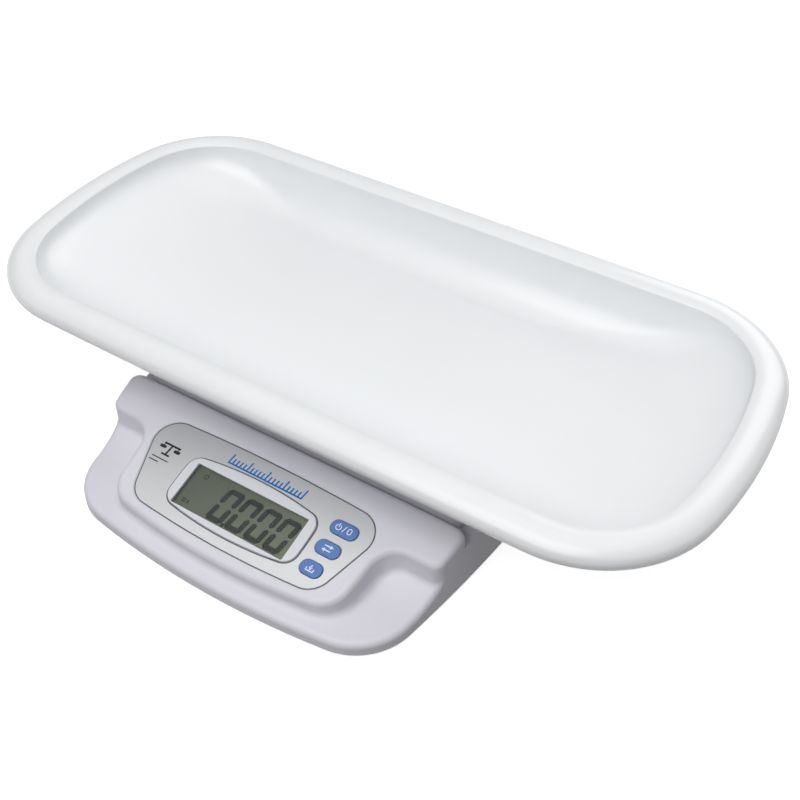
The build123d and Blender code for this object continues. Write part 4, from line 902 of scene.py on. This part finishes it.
u, v = KEYS["zero"]
open_ring = ring(2.2, 2.2, 2.15, 0.62)
bpy.ops.object.mode_set(mode="EDIT")
pick("FACE", lambda face: middle(face).y > 1.2 * MM and abs(middle(face).x) < 1.1 * MM)
bpy.ops.mesh.delete(type="FACE")
bpy.ops.object.mode_set(mode="OBJECT")
lay("sign_zero", [moved(open_ring, u - 4.2, v - 0.2), plate(0.34, 1.4, u - 4.2, v + 1.4),
                  plate(0.3, 2.5, u + 0.2, v, turn=-18),
                  ring(1.6, 2.3, 1.5, 0.62, u + 4.3, v)], KEY_W, PALE_INK, "key_zero")
u, v = KEYS["mode"]
lay("sign_mode", [arrow(u - 0.4, v + 1.5, 0), arrow(u + 0.4, v - 1.5, 180)], KEY_W, PALE_INK,
    "key_mode")
u, v = KEYS["memory"]
lay("sign_memory", [arrow(u, v + 0.9, -90, 1.2), plate(3.1, 0.4, u, v - 2.3),
                    plate(0.4, 1.0, u - 2.7, v - 1.3), plate(0.4, 1.0, u + 2.7, v - 1.3)],
    KEY_W, PALE_INK, "key_memory")
print("key signs done")

# %% [markdown]
# ## Studio
# A seamless floor and soft light: one wide lamp overhead, a stronger one high in front, a third
# lower behind the scale, and a weak even sky. The floor looks white to the camera, to gloss and
# through clear plastic, and keeps the scale's shadow. It is darker for the light that it
# throws back, so that the housing's walls and the rim's underside shade. The sky too is white
# to the camera and through clear plastic, and weak for all other light.

# %% Floor
FLOOR_SIZE = 8.0
FLOOR_LIFT = 0.84                       # glow that brings the floor to white
FLOOR_BOUNCE, FLOOR_SEEN = srgb(84, 80, 78), srgb(190, 190, 192)
FLOOR_ROUGHNESS = 0.9

bpy.ops.mesh.primitive_plane_add(size=FLOOR_SIZE, location=(0, 0, 0))
stage = named("studio_floor")
settle()
floor = Finish("studio_floor")
seen = floor.node("ShaderNodeLightPath", {}, {}, "Is Camera Ray")
mirrored = floor.node("ShaderNodeLightPath", {}, {}, "Is Glossy Ray")
through = floor.node("ShaderNodeLightPath", {}, {}, "Is Transmission Ray")
white = floor.capped_sum(seen + mirrored, through)
floor.surface(Base_Color=floor.blend(white, FLOOR_BOUNCE, FLOOR_SEEN),
              Roughness=FLOOR_ROUGHNESS)
glow = floor.node("ShaderNodeEmission", {}, {"Color": (1, 1, 1, 1), "Strength": FLOOR_LIFT})
lifted = floor.node("ShaderNodeAddShader", {}, {0: floor.bare(), 1: glow})
floor.surface_from(floor.node("ShaderNodeMixShader", {}, {0: white, 1: floor.bare(), 2: lifted}))
stage.data.materials.append(floor.material)
print("floor", FLOOR_SIZE, "m")

# %% Lamps
LAMP_AIM = Vector((0.0, 0.0, 0.05))
LAMPS = {                               # place and side in metres, power in watts
    "overhead_softbox": ((0.0, -0.1, 1.9), 1.9, 12.0),
    "front_softbox": ((0.0, -1.18, 1.8), 1.6, 24.5),
    "back_softbox": ((0.3, 1.7, 1.1), 1.4, 14.0),
}


def softbox(name, place, size, power):
    """Square lamp that looks at the scale."""
    bpy.ops.object.light_add(type="AREA", location=place)
    lamp = bpy.context.object
    lamp.name = lamp.data.name = name
    lamp.data.shape = "SQUARE"
    lamp.data.size = size
    lamp.data.energy = power
    aim = LAMP_AIM - Vector(place)
    lamp.rotation_euler = aim.to_track_quat("-Z", "Y").to_euler()


for name, settings in LAMPS.items():
    softbox(name, *settings)

# %% Sky
SKY_STRENGTH = 0.18

world = bpy.data.worlds.new("studio_sky")
SCENE.world = world
world.use_nodes = True
sky = world.node_tree
sky.nodes.clear()
rays = sky.nodes.new("ShaderNodeLightPath")
paint = sky.nodes.new("ShaderNodeBackground")
blank = sky.nodes.new("ShaderNodeBackground")
for background, strength in ((paint, SKY_STRENGTH), (blank, 1.0)):
    background.inputs["Color"].default_value = (1, 1, 1, 1)
    background.inputs["Strength"].default_value = strength
either = sky.nodes.new("ShaderNodeMath")
either.operation = "ADD"
either.use_clamp = True
sky.links.new(rays.outputs["Is Camera Ray"], either.inputs[0])
sky.links.new(rays.outputs["Is Transmission Ray"], either.inputs[1])
mix = sky.nodes.new("ShaderNodeMixShader")
world_out = sky.nodes.new("ShaderNodeOutputWorld")
sky.links.new(either.outputs[0], mix.inputs[0])
sky.links.new(paint.outputs[0], mix.inputs[1])
sky.links.new(blank.outputs[0], mix.inputs[2])
sky.links.new(mix.outputs[0], world_out.inputs["Surface"])
print("sky", SKY_STRENGTH)
